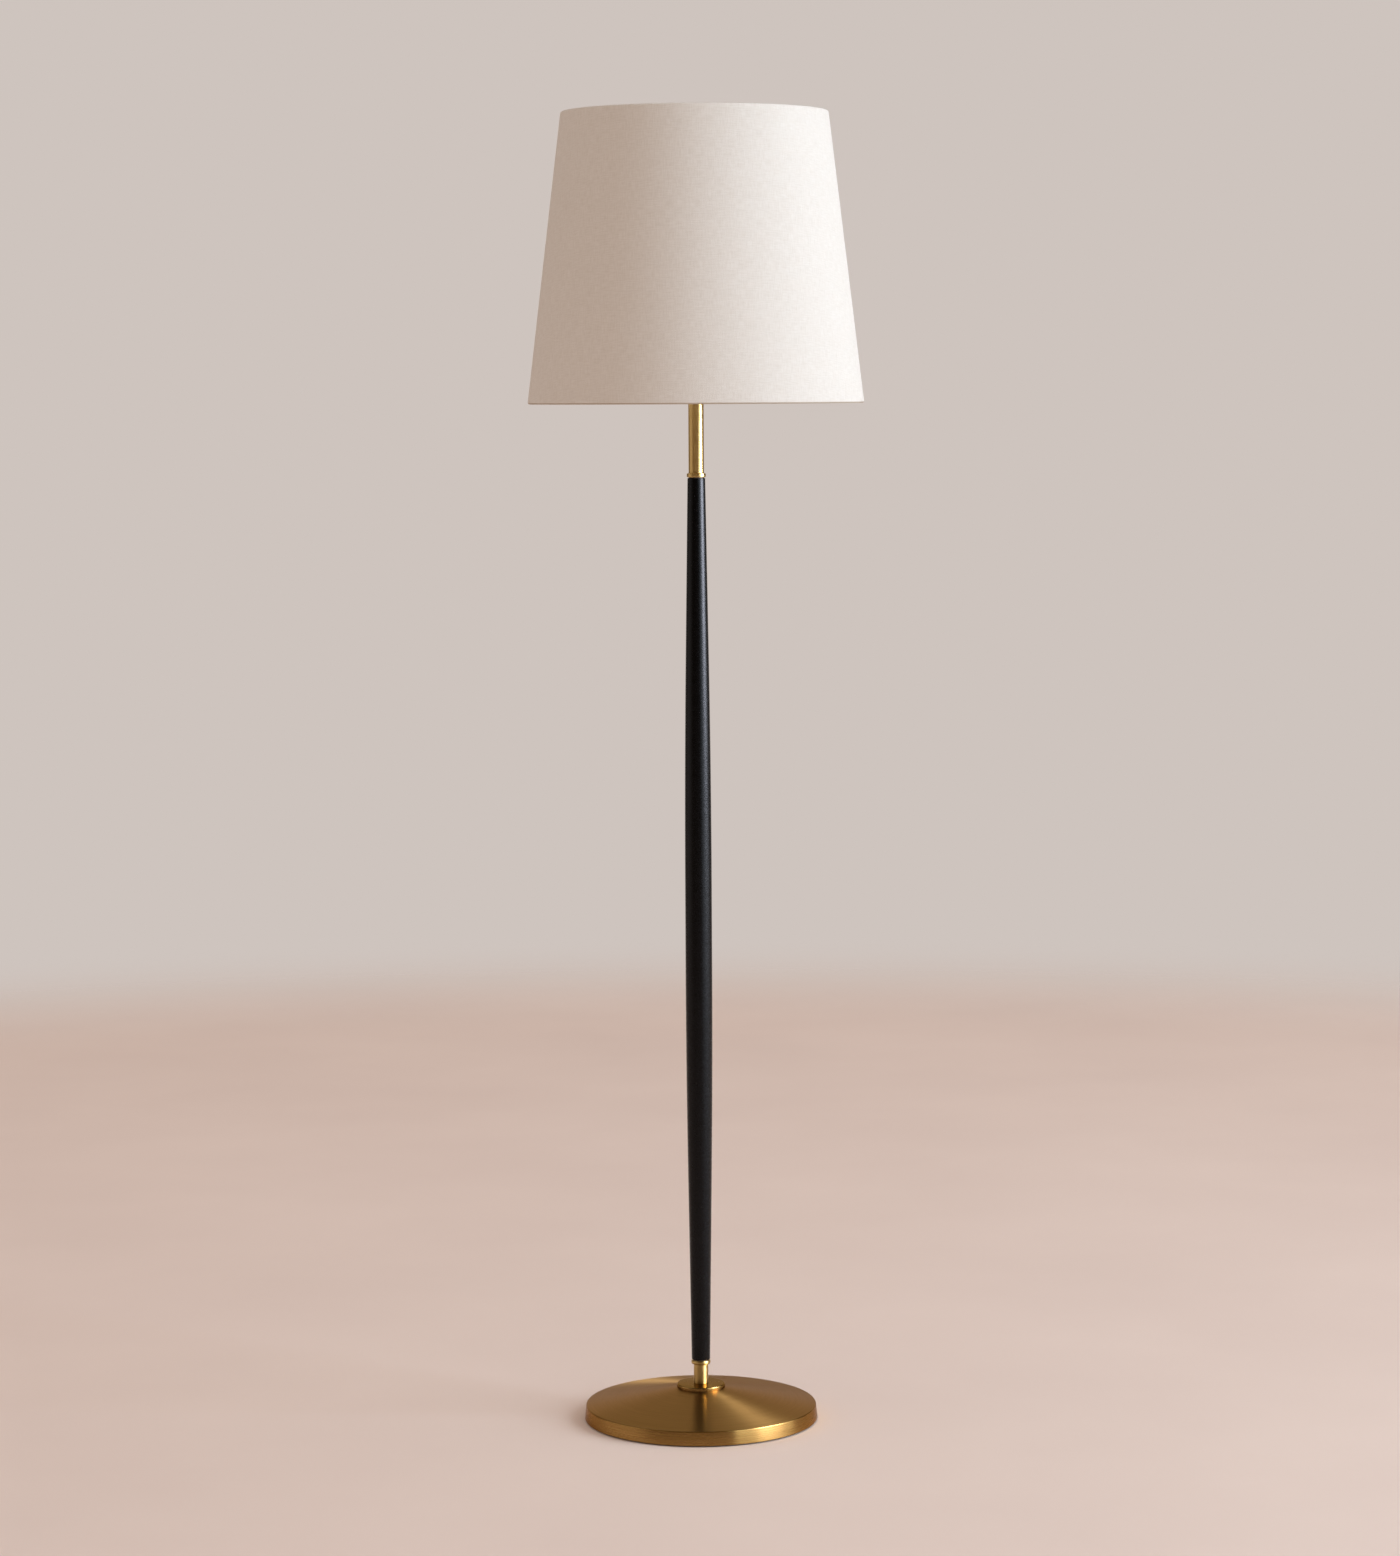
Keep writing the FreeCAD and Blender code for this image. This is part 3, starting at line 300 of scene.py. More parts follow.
clear = add(tree, "ShaderNodeBsdfTransparent")
faded = add(tree, "ShaderNodeMixShader", {0: hidden, 1: solid, 2: clear})
tree.links.new(faded, tree.nodes["Material Output"].inputs["Surface"])
floor_mesh.materials.append(floor_finish)

# Felt pad: a dark felt disc glued under the closing plate, so that the base doesn't mark the
# floor. Only its edge shows, as a thin dark line under the rim.
FELT_TUFT = 0.0012
FELT_FIBRE = 0.0006
FELT_NAP = 0.0004


def dress(finish, *names):
    """Gives solids that keep their own shape their finish."""
    for name in names:
        for slot in nodes[name].material_slots:
            slot.material = finish


felt = new_finish("felt", Roughness=0.95, Sheen_Weight=0.4)
tint(felt, noise(felt, FELT_TUFT, detail=6.0), (0.018, 0.014, 0.012), (0.045, 0.037, 0.032))
emboss(felt, noise(felt, FELT_FIBRE, detail=5.0), FELT_NAP)
dress(felt, "base_pad")

# Closing plate: a mild-steel disc that holds the weight in the cover, left as it was rolled,
# with a mill grain across it.
bare_steel = grained(
    "bare_steel",
    colours=((0.30, 0.29, 0.28), (0.42, 0.41, 0.40)),
    clouds={"size": 0.002, "stretch": (12, 1, 1)},
    roughness=(0.32, 0.5),
    patches={"size": 0.0008, "stretch": (20, 1, 1)},
    depth=0.00002,
    grain={"size": 0.0004, "stretch": (30, 1, 1)},
    Metallic=1.0,
)
dress(bare_steel, "base_plate")

# Screws, washers and nuts inside the base: bought parts in bright zinc plate, with the faint
# spangle and the duller patches that plating in a barrel leaves.
zinc_steel = grained(
    "zinc_steel",
    colours=((0.48, 0.49, 0.50), (0.62, 0.63, 0.65)),
    clouds={"size": 0.003, "detail": 2.0},
    roughness=(0.22, 0.4),
    patches=0.0015,
    depth=0.00001,
    grain=0.0003,
    Metallic=1.0,
)
dress(zinc_steel, "base_plate_screws", "terminal_screw", "earth_screw")
dress(zinc_steel, "rod_washer_lower", "rod_lock_washer", "rod_nut_lower")

# Weight: a sand-cast iron disc under the cover, painted thinly against rust, with the mould's
# grain still in it.
iron = grained(
    "iron",
    colours=((0.022, 0.021, 0.021), (0.060, 0.056, 0.053)),
    clouds={"size": 0.006, "detail": 5.0},
    roughness=(0.55, 0.8),
    patches=0.004,
    depth=0.0004,
    grain={"size": 0.0014, "detail": 6.0},
    Metallic=0.35,
)
dress(iron, "base_weight")

# Wiring in the base's chamber: a moulded terminal block, a brass earth tag and the inner lead
# that runs up the rod in a smooth white sheath.
block_plastic = grained(
    "block_plastic",
    colours=((0.74, 0.72, 0.66), (0.80, 0.78, 0.72)),
    clouds=0.004,
    roughness=(0.38, 0.5),
    patches=0.001,
    depth=0.00002,
    grain=0.0003,
    Specular_IOR_Level=0.5,
)
dress(block_plastic, "terminal_block")
contact_brass = grained(
    "contact_brass",
    colours=((0.62, 0.45, 0.20), (0.74, 0.56, 0.27)),
    clouds=0.002,
    roughness=(0.2, 0.38),
    patches=0.001,
    depth=0.00001,
    grain={"size": 0.0004, "stretch": (1, 1, 8)},
    Metallic=1.0,
)
dress(contact_brass, "earth_tag")
lead_sheath = grained(
    "lead_sheath",
    colours=((0.68, 0.67, 0.64), (0.76, 0.75, 0.72)),
    clouds={"size": 0.003, "stretch": (1, 1, 6)},
    roughness=(0.35, 0.5),
    patches=0.002,
    depth=0.00003,
    grain={"size": 0.0006, "stretch": (1, 1, 10)},
)
dress(lead_sheath, "lead")

# Base cover: spun from one sheet of brass into a low rim and a shallow cone, then brushed
# round and round and lacquered. A nut under the rosette pulls it onto the weight.
CURVE_STEPS = 6
SMOOTH_ANGLE = math.radians(35)
MERGE_DISTANCE = 1e-7
RIM_HEIGHT = 0.0167
RIM_DRAFT = 0.0018
COVER_WALL = 0.0012
RIM_ROUND = 0.0016
EDGE_ROUND = 0.0003
ROD_HOLE = 0.0052
TURNED_SIDES = 192
COVER_SIDES = 360
RIM_ROUGHNESS = 0.22
CONE_ROUGHNESS = 0.27
UNEVEN_BRUSHING = 0.1
UNEVEN_WIDTH = 0.002
LINE_ARC = 0.5
LINE_DETAIL = 4.0


def size_of(node):
    """A turned solid's outside radius, its bottom and its top."""
    low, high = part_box(node)
    return high.x, low.z, high.z


def rounded(*corners, steps=CURVE_STEPS):
    """Outline points from corners (across, up, rounding)."""
    outline = []
    for number, (across, up, rounding) in enumerate(corners):
        corner = Vector((across, up))
        if not rounding:
            outline.append(corner)
            continue
        before = Vector(corners[number - 1][:2]) - corner
        after = Vector(corners[(number + 1) % len(corners)][:2]) - corner
        reach = rounding / math.tan(before.angle(after) / 2)
        reach = min(reach, before.length / 2, after.length / 2)
        start, end = corner + before.normalized() * reach, corner + after.normalized() * reach
        for step in range(steps + 1):
            share = step / steps
            outline.append(start.lerp(corner, share).lerp(corner.lerp(end, share), share))
    return outline


def smooth(mesh, angle=SMOOTH_ANGLE):
    """Smooths the faces and keeps the edges crisp where they bend sharply."""
    mesh.shade_smooth()
    mesh.set_sharp_from_angle(angle=angle)


def face_outwards(mesh, merge=0):
    """Makes one of points that lie within merge, and turns all faces outwards."""
    work = bmesh.new()
    work.from_mesh(mesh)
    if merge:
        bmesh.ops.remove_doubles(work, verts=work.verts, dist=merge)
    bmesh.ops.recalc_face_normals(work, faces=work.faces)
    work.to_mesh(mesh)
    work.free()


def upright_point(radius, height, angle):
    """A point about the lamp's axis."""
    return radius * math.cos(angle), radius * math.sin(angle), height


def turned(name, outline, sides=TURNED_SIDES, point=upright_point):
    """A smooth piece turned from a closed outline that stays off the axis.

    point says where a place of the outline (across, up) lies at an angle round the axis.
    """
    vertices, faces = [], []
    for row, (across, up) in enumerate(outline):
        after = (row + 1) % len(outline)
        for side in range(sides):
            vertices.append(point(across, up, math.tau * side / sides))
            ahead = (side + 1) % sides
            corners = ((row, side), (row, ahead), (after, ahead), (after, side))
            faces.append([line * sides + spot for line, spot in corners])
    mesh = bpy.data.meshes.new(name)
    mesh.from_pydata(vertices, [], faces)
    face_outwards(mesh, MERGE_DISTANCE)
    smooth(mesh)
    return add_object(name, mesh)


def fit(piece, finish, slot, body, *stands_for):
    """Gives a piece its finish, and fixes it to its body in place of solids."""
    if not piece.data.materials:
        piece.data.materials.append(finish)
    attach(piece, body)
    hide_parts(*stands_for)


def round_lines(finish, size, arc=LINE_ARC):
    """Fine lines round the lamp's axis, as turning and brushing leave them."""
    tree = finish.node_tree
    place = own_place(finish)
    across = calculate_vector(tree, "LENGTH", scaled(finish, place, (1, 1, 0)))
    parts = split(tree, place)
    angle = calculate(tree, "ARCTAN2", parts["Y"], parts["X"])
    line = add(tree, "ShaderNodeCombineXYZ", {"X": across, "Y": parts["Z"]})
    turn = add(tree, "ShaderNodeCombineXYZ", {"Z": calculate(tree, "DIVIDE", angle, arc)})
    spots = calculate_vector(tree, "ADD", scaled(finish, line, (1 / size, 1 / size, 0)), turn)
    look = {"Vector": spots, "Scale": 1.0, "Detail": LINE_DETAIL}
    return add(tree, "ShaderNodeTexNoise", look)


def brushed(name, colours, lines, depth, scratches, arc=LINE_ARC, **values):
    """A brass brushed round the lamp's axis, which draws its sheen out across the lines."""
    finish = new_finish(name, Metallic=1.0, Anisotropic_Rotation=0.25, **values)
    tree = finish.node_tree
    around = calculate_vector(tree, "CROSS_PRODUCT", (0, 0, 1), own_place(finish))
    feed(finish, "Tangent", calculate_vector(tree, "NORMALIZE", around))
    tint(finish, round_lines(finish, lines, arc), *colours)
    emboss(finish, round_lines(finish, scratches, arc), depth)
    return finish


satin_brass = brushed(
    "satin_brass",
    colours=((0.33, 0.187, 0.055), (0.40, 0.228, 0.072)),
    lines=0.0007,
    depth=0.00001,
    scratches=0.0004,
    Anisotropic=0.9,
    Specular_Tint=(0.7, 0.58, 0.5, 1),
)
cover_radius, cover_bottom, cover_top = size_of("base_shell")
seat_radius = size_of("rosette")[0]
rim_top = cover_bottom + RIM_HEIGHT
rim_radius = cover_radius - RIM_DRAFT
tree = satin_brass.node_tree
height = split(tree, own_place(satin_brass))["Z"]
even = spread(tree, height, rim_top - RIM_ROUND, rim_top, RIM_ROUGHNESS, CONE_ROUGHNESS)
brushing = round_lines(satin_brass, UNEVEN_WIDTH)
uneven = calculate(tree, "MULTIPLY_ADD", brushing, UNEVEN_BRUSHING, even)
feed(satin_brass, "Roughness", uneven)
cover_outline = rounded(
    (cover_radius, cover_bottom, EDGE_ROUND),
    (rim_radius, rim_top, RIM_ROUND),
    (seat_radius, cover_top, RIM_ROUND),
    (ROD_HOLE, cover_top, 0),
    (ROD_HOLE, cover_top - COVER_WALL, 0),
    (seat_radius, cover_top - COVER_WALL, RIM_ROUND),
    (rim_radius - COVER_WALL, rim_top - COVER_WALL, COVER_WALL),
    (cover_radius - COVER_WALL, cover_bottom, EDGE_ROUND),
)
base_cover = turned("base_cover", cover_outline, COVER_SIDES)

# Cord bush: a black moulded bush pressed into a hole at the back of the rim, where a mains
# lead would enter. Its flange is moulded to the curve of the rim.
CORD_HEIGHT = 0.00985
BUSH_SLEEVE = 0.005
BUSH_FLANGE = 0.0068
BUSH_BORE = 0.0033
FLANGE_ROUND = 0.0009
BUSH_SIDES = 64
HOLE_CLEARANCE = 0.00005
bush_low, bush_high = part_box("cord_bush")


def rim_depth(across, height):
    """How far back the rim's outside lies at a place on it."""
    radius = cover_radius - RIM_DRAFT * (height - cover_bottom) / RIM_HEIGHT
    return math.sqrt(radius**2 - across**2)


def evaluated_mesh(piece):
    """The plain mesh that a piece's modifiers make."""
    depsgraph = bpy.context.evaluated_depsgraph_get()
    return bpy.data.meshes.new_from_object(piece.evaluated_get(depsgraph))


cutter = bmesh.new()
backwards = Matrix.Rotation(math.pi / 2, 4, "X")
bmesh.ops.create_cone(
    cutter,
    cap_ends=True,
    segments=BUSH_SIDES,
    radius1=BUSH_SLEEVE + HOLE_CLEARANCE,
    radius2=BUSH_SLEEVE + HOLE_CLEARANCE,
    depth=cover_radius,
    matrix=Matrix.Translation((0, cover_radius, CORD_HEIGHT)) @ backwards,
)
hole_mesh = bpy.data.meshes.new("cord_hole")
cutter.to_mesh(hole_mesh)
cutter.free()
hole = add_object("cord_hole", hole_mesh)
drilling = base_cover.modifiers.new("cord_hole", "BOOLEAN")
drilling.object = hole
drilling.solver = "EXACT"
drilled = evaluated_mesh(base_cover)
base_cover.modifiers.clear()
base_cover.data = drilled
bpy.data.objects.remove(hole)
smooth(drilled)
fit(base_cover, satin_brass, "satin_brass", "stand", "base_shell")

rim_middle = rim_depth(0, CORD_HEIGHT)
bush_outline = rounded(
    (BUSH_BORE, bush_low.y, 0),
    (BUSH_SLEEVE, bush_low.y, EDGE_ROUND),
    (BUSH_SLEEVE, rim_middle, 0),
    (BUSH_FLANGE, rim_middle, EDGE_ROUND),
    (BUSH_FLANGE, bush_high.y, FLANGE_ROUND),
    (BUSH_BORE, bush_high.y, FLANGE_ROUND),
)


def bush_point(across, depth, angle):
    """A point of the bush, which lies from front to back. Its flange lies on the rim."""
    x, z = across * math.cos(angle), CORD_HEIGHT + across * math.sin(angle)
    if abs(depth - rim_middle) < EDGE_ROUND * 2:
        depth += HOLE_CLEARANCE + rim_depth(x, z) - rim_middle
    return x, depth, z


black_plastic = grained(
    "black_plastic",
    colours=((0.010, 0.010, 0.011), (0.018, 0.018, 0.019)),
    clouds=0.004,
    roughness=(0.34, 0.46),
    patches=0.0015,
    depth=0.00002,
    grain=0.00025,
    Specular_IOR_Level=0.5,
)
bush = turned("cord_bush_moulding", bush_outline, BUSH_SIDES, bush_point)
fit(bush, black_plastic, "black_plastic", "stand", "cord_bush")

# Threaded rod: a hollow steel rod that runs from the base to the lampholder and clamps the
# whole column together between its two nuts. Its fine thread is rolled.
ROD_PITCH = 0.001
ROD_THREAD = 0.0003
rod_steel = grained(
    "rod_steel",
    colours=((0.45, 0.46, 0.47), (0.60, 0.61, 0.62)),
    clouds=0.003,
    roughness=(0.25, 0.42),
    patches=0.001,
    Metallic=1.0,
)
tree = rod_steel.node_tree
parts = split(tree, own_place(rod_steel))
rise = calculate(tree, "MULTIPLY", parts["Z"], math.tau / ROD_PITCH)
turns = calculate(tree, "SUBTRACT", rise, calculate(tree, "ARCTAN2", parts["Y"], parts["X"]))
emboss(rod_steel, calculate(tree, "SINE", turns), ROD_THREAD)
dress(rod_steel, "threaded_rod")

# Brass at the foot of the column: a thick turned rosette, a short neck tube and a bead ring,
# each turned from solid brass or tube, with its edges broken and its faces brushed.
TUBE_WALL = 0.001
SPIGOT_FIT = 0.00005
ROSETTE_ROUND = 0.0018
BEAD_ROUND = 0.0022
LONG_ARC = 3.0
POLISHED_BANDS, POLISHED_ROUGHNESS = 0.003, (0.30, 0.34)
TURNED_BANDS, TURNED_ROUGHNESS = 0.0012, (0.2, 0.28)
rosette_radius, rosette_bottom, rosette_top = size_of("rosette")
neck_radius, neck_bottom, neck_top = size_of("neck_tube")
bead_radius, bead_bottom, bead_top = size_of("lower_collar")
spigot_radius = neck_radius - TUBE_WALL - SPIGOT_FIT
polished_brass = brushed(
    "polished_brass",
    colours=((0.63, 0.44, 0.165), (0.67, 0.475, 0.19)),
    lines=0.0008,
    depth=0.0000004,
    scratches=0.0005,
    arc=LONG_ARC,
    Anisotropic=0.93,
)
polished_bands = round_lines(polished_brass, POLISHED_BANDS, LONG_ARC)
vary_roughness(polished_brass, polished_bands, *POLISHED_ROUGHNESS)
turned_brass = brushed(
    "turned_brass",
    colours=((0.30, 0.18, 0.055), (0.38, 0.23, 0.075)),
    lines=0.0007,
    depth=0.000002,
    scratches=0.0004,
    Anisotropic=0.7,
    Specular_Tint=(0.6, 0.5, 0.4, 1),
)
vary_roughness(turned_brass, round_lines(turned_brass, TURNED_BANDS), *TURNED_ROUGHNESS)
rosette = turned(
    "rosette_disc",
    rounded(
        (ROD_HOLE, rosette_bottom, 0),
        (rosette_radius, rosette_bottom, EDGE_ROUND),
        (rosette_radius, neck_bottom, ROSETTE_ROUND),
        (spigot_radius, neck_bottom, 0),
        (spigot_radius, rosette_top, EDGE_ROUND),
        (ROD_HOLE, rosette_top, EDGE_ROUND),
    ),
)
fit(rosette, turned_brass, "satin_brass", "stand", "rosette")


def ring(name, inside, outside, bottom, top, edge=EDGE_ROUND, sides=TURNED_SIDES):
    """A straight tube or ring with its edges broken."""
    corners = [(inside, bottom), (outside, bottom), (outside, top), (inside, top)]
    return turned(name, rounded(*[(*corner, edge) for corner in corners]), sides)


neck = ring("neck_sleeve", neck_radius - TUBE_WALL, neck_radius, neck_bottom, neck_top)
fit(neck, polished_brass, "polished_brass", "stand", "neck_tube")
bead = turned(
    "lower_bead",
    rounded(
        (ROD_HOLE, bead_bottom, EDGE_ROUND),
        (spigot_radius, bead_bottom, EDGE_ROUND),
        (spigot_radius, neck_top, 0),
        (bead_radius, neck_top, BEAD_ROUND),
        (bead_radius, bead_top, BEAD_ROUND),
        (ROD_HOLE, bead_top, 0),
    ),
)
fit(bead, polished_brass, "polished_brass", "stand", "lower_collar")

# Column core: a long spindle of turned beech, bored for the rod. It swells in the middle third
# and is stained dark, because the leather hides it all but for its ends. Its dark ends, seen in
# the gaps at the leather's ends, also stand in for the shade there: painted shade.
GROWTH_WIDTH = 0.0025
GROWTH_STRETCH = (1, 1, 40)
GROWTH_DEPTH = 0.0001
timber = new_finish("timber", Roughness=0.6)
growth = noise(timber, GROWTH_WIDTH, GROWTH_STRETCH, detail=4.0)
# Dark stain, which is also painted shade in the gaps at the leather's ends.
tint(timber, growth, (0.055, 0.034, 0.020), (0.11, 0.068, 0.040), low=0.35, high=0.65)
emboss(timber, growth, GROWTH_DEPTH)
dress(timber, "column_core")

# Leather sleeve: black cow hide, skived thin, glued round the core and closed edge to edge
# down the back with two rows of stitches. Its ends are turned and pressed against the brass.
LEATHER_WALL = 0.0012
LEATHER_END_ROUND = 0.0006
SWELL_ROUND = 18.0
SWELL_STEPS = 12
SEAM_WIDTH = 0.0007
SEAM_DEPTH = 0.0006
LEATHER_SIDES = 320
FOOT_RADIUS, CROWN_RADIUS = 0.0111, 0.0106
PEBBLE_LENGTH_SHARE = 0.8
PEBBLES_A_METRE = 900.0
PEBBLE_EDGE_RISE = 4.0
PEBBLE_DEPTH = 0.00003
CREASE_SIZE = 0.0035
CREASE_STRETCH = (1, 1, 2)
CREASE_DEPTH = 0.00006
leather_belly, leather_bottom, leather_top = size_of("column_leather")
third = (leather_top - leather_bottom) / 3
sleeve_line = [
    (FOOT_RADIUS, leather_bottom),
    (leather_belly, leather_bottom + third),
    (leather_belly, leather_top - third),
    (CROWN_RADIUS, leather_top),
]
outer_rounds = (LEATHER_END_ROUND, SWELL_ROUND, SWELL_ROUND, LEATHER_END_ROUND)
inner_rounds = (0, SWELL_ROUND, SWELL_ROUND, 0)
outside = [(r, h, rounding) for (r, h), rounding in zip(sleeve_line, outer_rounds)]
inside = [(r - LEATHER_WALL, h, rounding) for (r, h), rounding in zip(sleeve_line, inner_rounds)]
sleeve_outline = rounded(*outside, *inside[::-1], steps=SWELL_STEPS)


def sleeve_point(radius, height, angle):
    """A point of the leather, whose meeting edges are pressed in along the back."""
    aside = radius * math.remainder(angle - math.pi / 2, math.tau)
    groove = SEAM_DEPTH * math.exp(-((aside / SEAM_WIDTH) ** 2))
    return upright_point(radius - groove, height, angle)


leather = grained(
    "black_leather",
    colours=((0.0018, 0.0016, 0.0020), (0.0034, 0.0031, 0.0038)),
    clouds={"size": 0.01, "detail": 5.0},
    roughness=(0.22, 0.30),
    patches={"size": 0.004, "detail": 5.0},
    Specular_IOR_Level=0.18,
)
tree = leather.node_tree
place = scaled(leather, own_place(leather), (1, 1, PEBBLE_LENGTH_SHARE))
cells = add(
    tree,
    "ShaderNodeTexVoronoi",
    {"Vector": place, "Scale": PEBBLES_A_METRE},
    feature="DISTANCE_TO_EDGE",
)
pebbles = calculate(tree, "MINIMUM", calculate(tree, "MULTIPLY", cells, PEBBLE_EDGE_RISE), 1.0)
emboss(leather, pebbles, PEBBLE_DEPTH)
emboss(leather, noise(leather, CREASE_SIZE, CREASE_STRETCH, detail=4.0), CREASE_DEPTH)
sleeve = turned("leather_sleeve", sleeve_outline, LEATHER_SIDES, sleeve_point)
fit(sleeve, leather, "black_leather", "stand", "column_leather")

# Stitches: waxed black thread in two rows, one on each side of the seam down the back.
STITCH_PITCH = 0.0042
STITCH_LENGTH = 0.0030
STITCH_THICKNESS = 0.0008
STITCH_SEGMENTS, STITCH_RINGS = 8, 6
ROW_OFFSET = 0.0022
END_MARGIN = 0.004


def grown(name, seed, tree, **sizes):
    """The piece that a Geometry Nodes tree makes of a seed mesh, with its named sizes."""
    piece = add_object(name, seed)
    modifier = piece.modifiers.new(name, "NODES")
    modifier.node_group = tree
    for item in tree.interface.items_tree:
        if item.item_type == "SOCKET" and item.in_out == "INPUT" and item.name in sizes:
            modifier[item.identifier] = sizes[item.name]
    made = evaluated_mesh(piece)
    piece.modifiers.clear()
    piece.data = made
    smooth(made)
    return piece


def new_tree(name, numbers, counts=()):
    """A Geometry Nodes tree that takes a geometry, a finish and named numbers and counts."""
    tree = bpy.data.node_groups.new(name, "GeometryNodeTree")
    sockets = [("Geometry", "Geometry"), ("Finish", "Material")]
    sockets += [(label, "Float") for label in numbers] + [(label, "Int") for label in counts]
    for label, kind in sockets:
        tree.interface.new_socket(label, in_out="INPUT", socket_type="NodeSocket" + kind)
    tree.interface.new_socket("Geometry", in_out="OUTPUT", socket_type="NodeSocketGeometry")
    return tree, add_node(tree, "NodeGroupInput").outputs


def close_tree(tree, geometry, sizes):
    """Ends a tree: its instances become real and take the finish that it was given."""
    real = {"Geometry": add(tree, "GeometryNodeRealizeInstances", {0: geometry})}
    dressed = add(tree, "GeometryNodeSetMaterial", {**real, "Material": sizes["Finish"]})
    add_node(tree, "NodeGroupOutput", {0: dressed})


tree, sizes = new_tree("stitches", ("Pitch", "Length", "Thickness"))
seam_curve = add(tree, "GeometryNodeMeshToCurve", {0: sizes["Geometry"]})
seats = {"Curve": seam_curve, "Length": sizes["Pitch"]}
spots = add_node(tree, "GeometryNodeCurveToPoints", seats, mode="LENGTH").outputs
unit_bead = {"Segments": STITCH_SEGMENTS, "Rings": STITCH_RINGS, "Radius": 0.5}
thickness = sizes["Thickness"]
stitch_size = {"X": thickness, "Y": thickness, "Z": sizes["Length"]}
along_seam = add(tree, "FunctionNodeAlignRotationToVector", {"Vector": spots["Tangent"]}, axis="Z")
stitches = add(
    tree,
    "GeometryNodeInstanceOnPoints",
    {
        "Points": spots["Points"],
        "Instance": add(tree, "GeometryNodeMeshUVSphere", unit_bead),
        "Rotation": along_seam,
        "Scale": add(tree, "ShaderNodeCombineXYZ", stitch_size),
    },
)
close_tree(tree, stitches, sizes)
waxed_thread = grained(
    "waxed_thread",
    colours=((0.012, 0.012, 0.013), (0.035, 0.034, 0.036)),
    clouds=0.0004,
    roughness=(0.5, 0.7),
    patches=0.0006,
    depth=0.00008,
    grain={"size": 0.00025, "stretch": (1, 1, 3)},
    Specular_IOR_Level=0.4,
)
seam_bottom, seam_top = leather_bottom + END_MARGIN, leather_top - END_MARGIN
sleeve_outside = sleeve_outline[: len(outside) * (SWELL_STEPS + 1)]
sewn = [(radius, height) for radius, height in sleeve_outside if seam_bottom < height < seam_top]
sewn = [(FOOT_RADIUS, seam_bottom), *sewn, (CROWN_RADIUS, seam_top)]
seam_points, seam_edges = [], []
for side in (-ROW_OFFSET, ROW_OFFSET):
    for number, (radius, height) in enumerate(sewn):
        if number:
            seam_edges.append((len(seam_points) - 1, len(seam_points)))
        seam_points.append((side, math.sqrt(radius**2 - side**2), height))
seam_mesh = bpy.data.meshes.new("seam_lines")
seam_mesh.from_pydata(seam_points, seam_edges, [])
stitching = grown(
    "leather_stitches",
    seam_mesh,
    tree,
    Pitch=STITCH_PITCH,
    Length=STITCH_LENGTH,
    Thickness=STITCH_THICKNESS,
    Finish=waxed_thread,
)
fit(stitching, waxed_thread, "black_leather", "stand")

# Brass above the leather: a rounded ring and the polished tube that goes up into the shade,
# closed by a spigoted washer and the rod's upper nut.
COLLAR_ROUND = 0.0014
collar_radius, collar_bottom, collar_top = size_of("upper_collar")
tube_radius, tube_bottom, tube_top = size_of("upper_tube")
upper_spigot = tube_radius - TUBE_WALL - SPIGOT_FIT
collar = turned(
    "upper_ring",
    rounded(
        (ROD_HOLE, collar_bottom, 0),
        (collar_radius, collar_bottom, COLLAR_ROUND),
        (collar_radius, tube_bottom, COLLAR_ROUND),
        (upper_spigot, tube_bottom, 0),
        (upper_spigot, collar_top, EDGE_ROUND),
        (ROD_HOLE, collar_top, EDGE_ROUND),
    ),
)
fit(collar, polished_brass, "polished_brass", "stand", "upper_collar")
upper_sleeve = ring("upper_sleeve", tube_radius - TUBE_WALL, tube_radius, tube_bottom, tube_top)
fit(upper_sleeve, polished_brass, "polished_brass", "stand", "upper_tube")
dress(polished_brass, "rod_washer_upper")
dress(zinc_steel, "rod_nut_upper")

# Lampholder: a black moulded cap on the end of the rod, a ceramic block with brass contacts,
# and a moulded skirt with a coarse outside thread for the two rings that clamp the shade.
SKIRT_PITCH = 0.003
SKIRT_THREAD = 0.0007
SKIRT_INSIDE = 0.0164
SKIRT_LIP = 0.0147
SKIRT_LIP_HEIGHT = 0.003
THREAD_MARGIN = 0.003
THREAD_SIDES = 96
ROWS_A_TURN = 12
skirt_radius, skirt_bottom, skirt_top = size_of("lampholder_skirt")
thread_sizes = ("Pitch", "Depth", "Inside", "Bottom", "Top", "Margin")
thread_tree, sizes = new_tree("screw_thread", thread_sizes)
tree = thread_tree
position = add(tree, "GeometryNodeInputPosition")
parts = split(tree, position)
flat_place = calculate_vector(tree, "MULTIPLY", position, (1, 1, 0))
across = calculate_vector(tree, "LENGTH", flat_place)
outward = calculate_vector(tree, "NORMALIZE", flat_place)
rise = calculate(tree, "MULTIPLY", calculate(tree, "DIVIDE", parts["Z"], sizes["Pitch"]), math.tau)
turns = calculate(tree, "SUBTRACT", rise, calculate(tree, "ARCTAN2", parts["Y"], parts["X"]))
wave = calculate(tree, "MULTIPLY_ADD", calculate(tree, "COSINE", turns), 0.5, -0.5)
from_bottom = calculate(tree, "SUBTRACT", parts["Z"], sizes["Bottom"])
from_top = calculate(tree, "SUBTRACT", sizes["Top"], parts["Z"])
nearest = calculate(tree, "MINIMUM", from_bottom, from_top)
from_end = calculate(tree, "DIVIDE", nearest, sizes["Margin"])
fading = spread(tree, from_end, 0, 1, curve="SMOOTHSTEP")
on_outside = calculate(tree, "GREATER_THAN", across, sizes["Inside"])
full_cut = calculate(tree, "MULTIPLY", wave, sizes["Depth"])
here = calculate(tree, "MULTIPLY", fading, on_outside)
cut_depth = {0: outward, "Scale": calculate(tree, "MULTIPLY", full_cut, here)}
offset = add(tree, "ShaderNodeVectorMath", cut_depth, operation="SCALE")
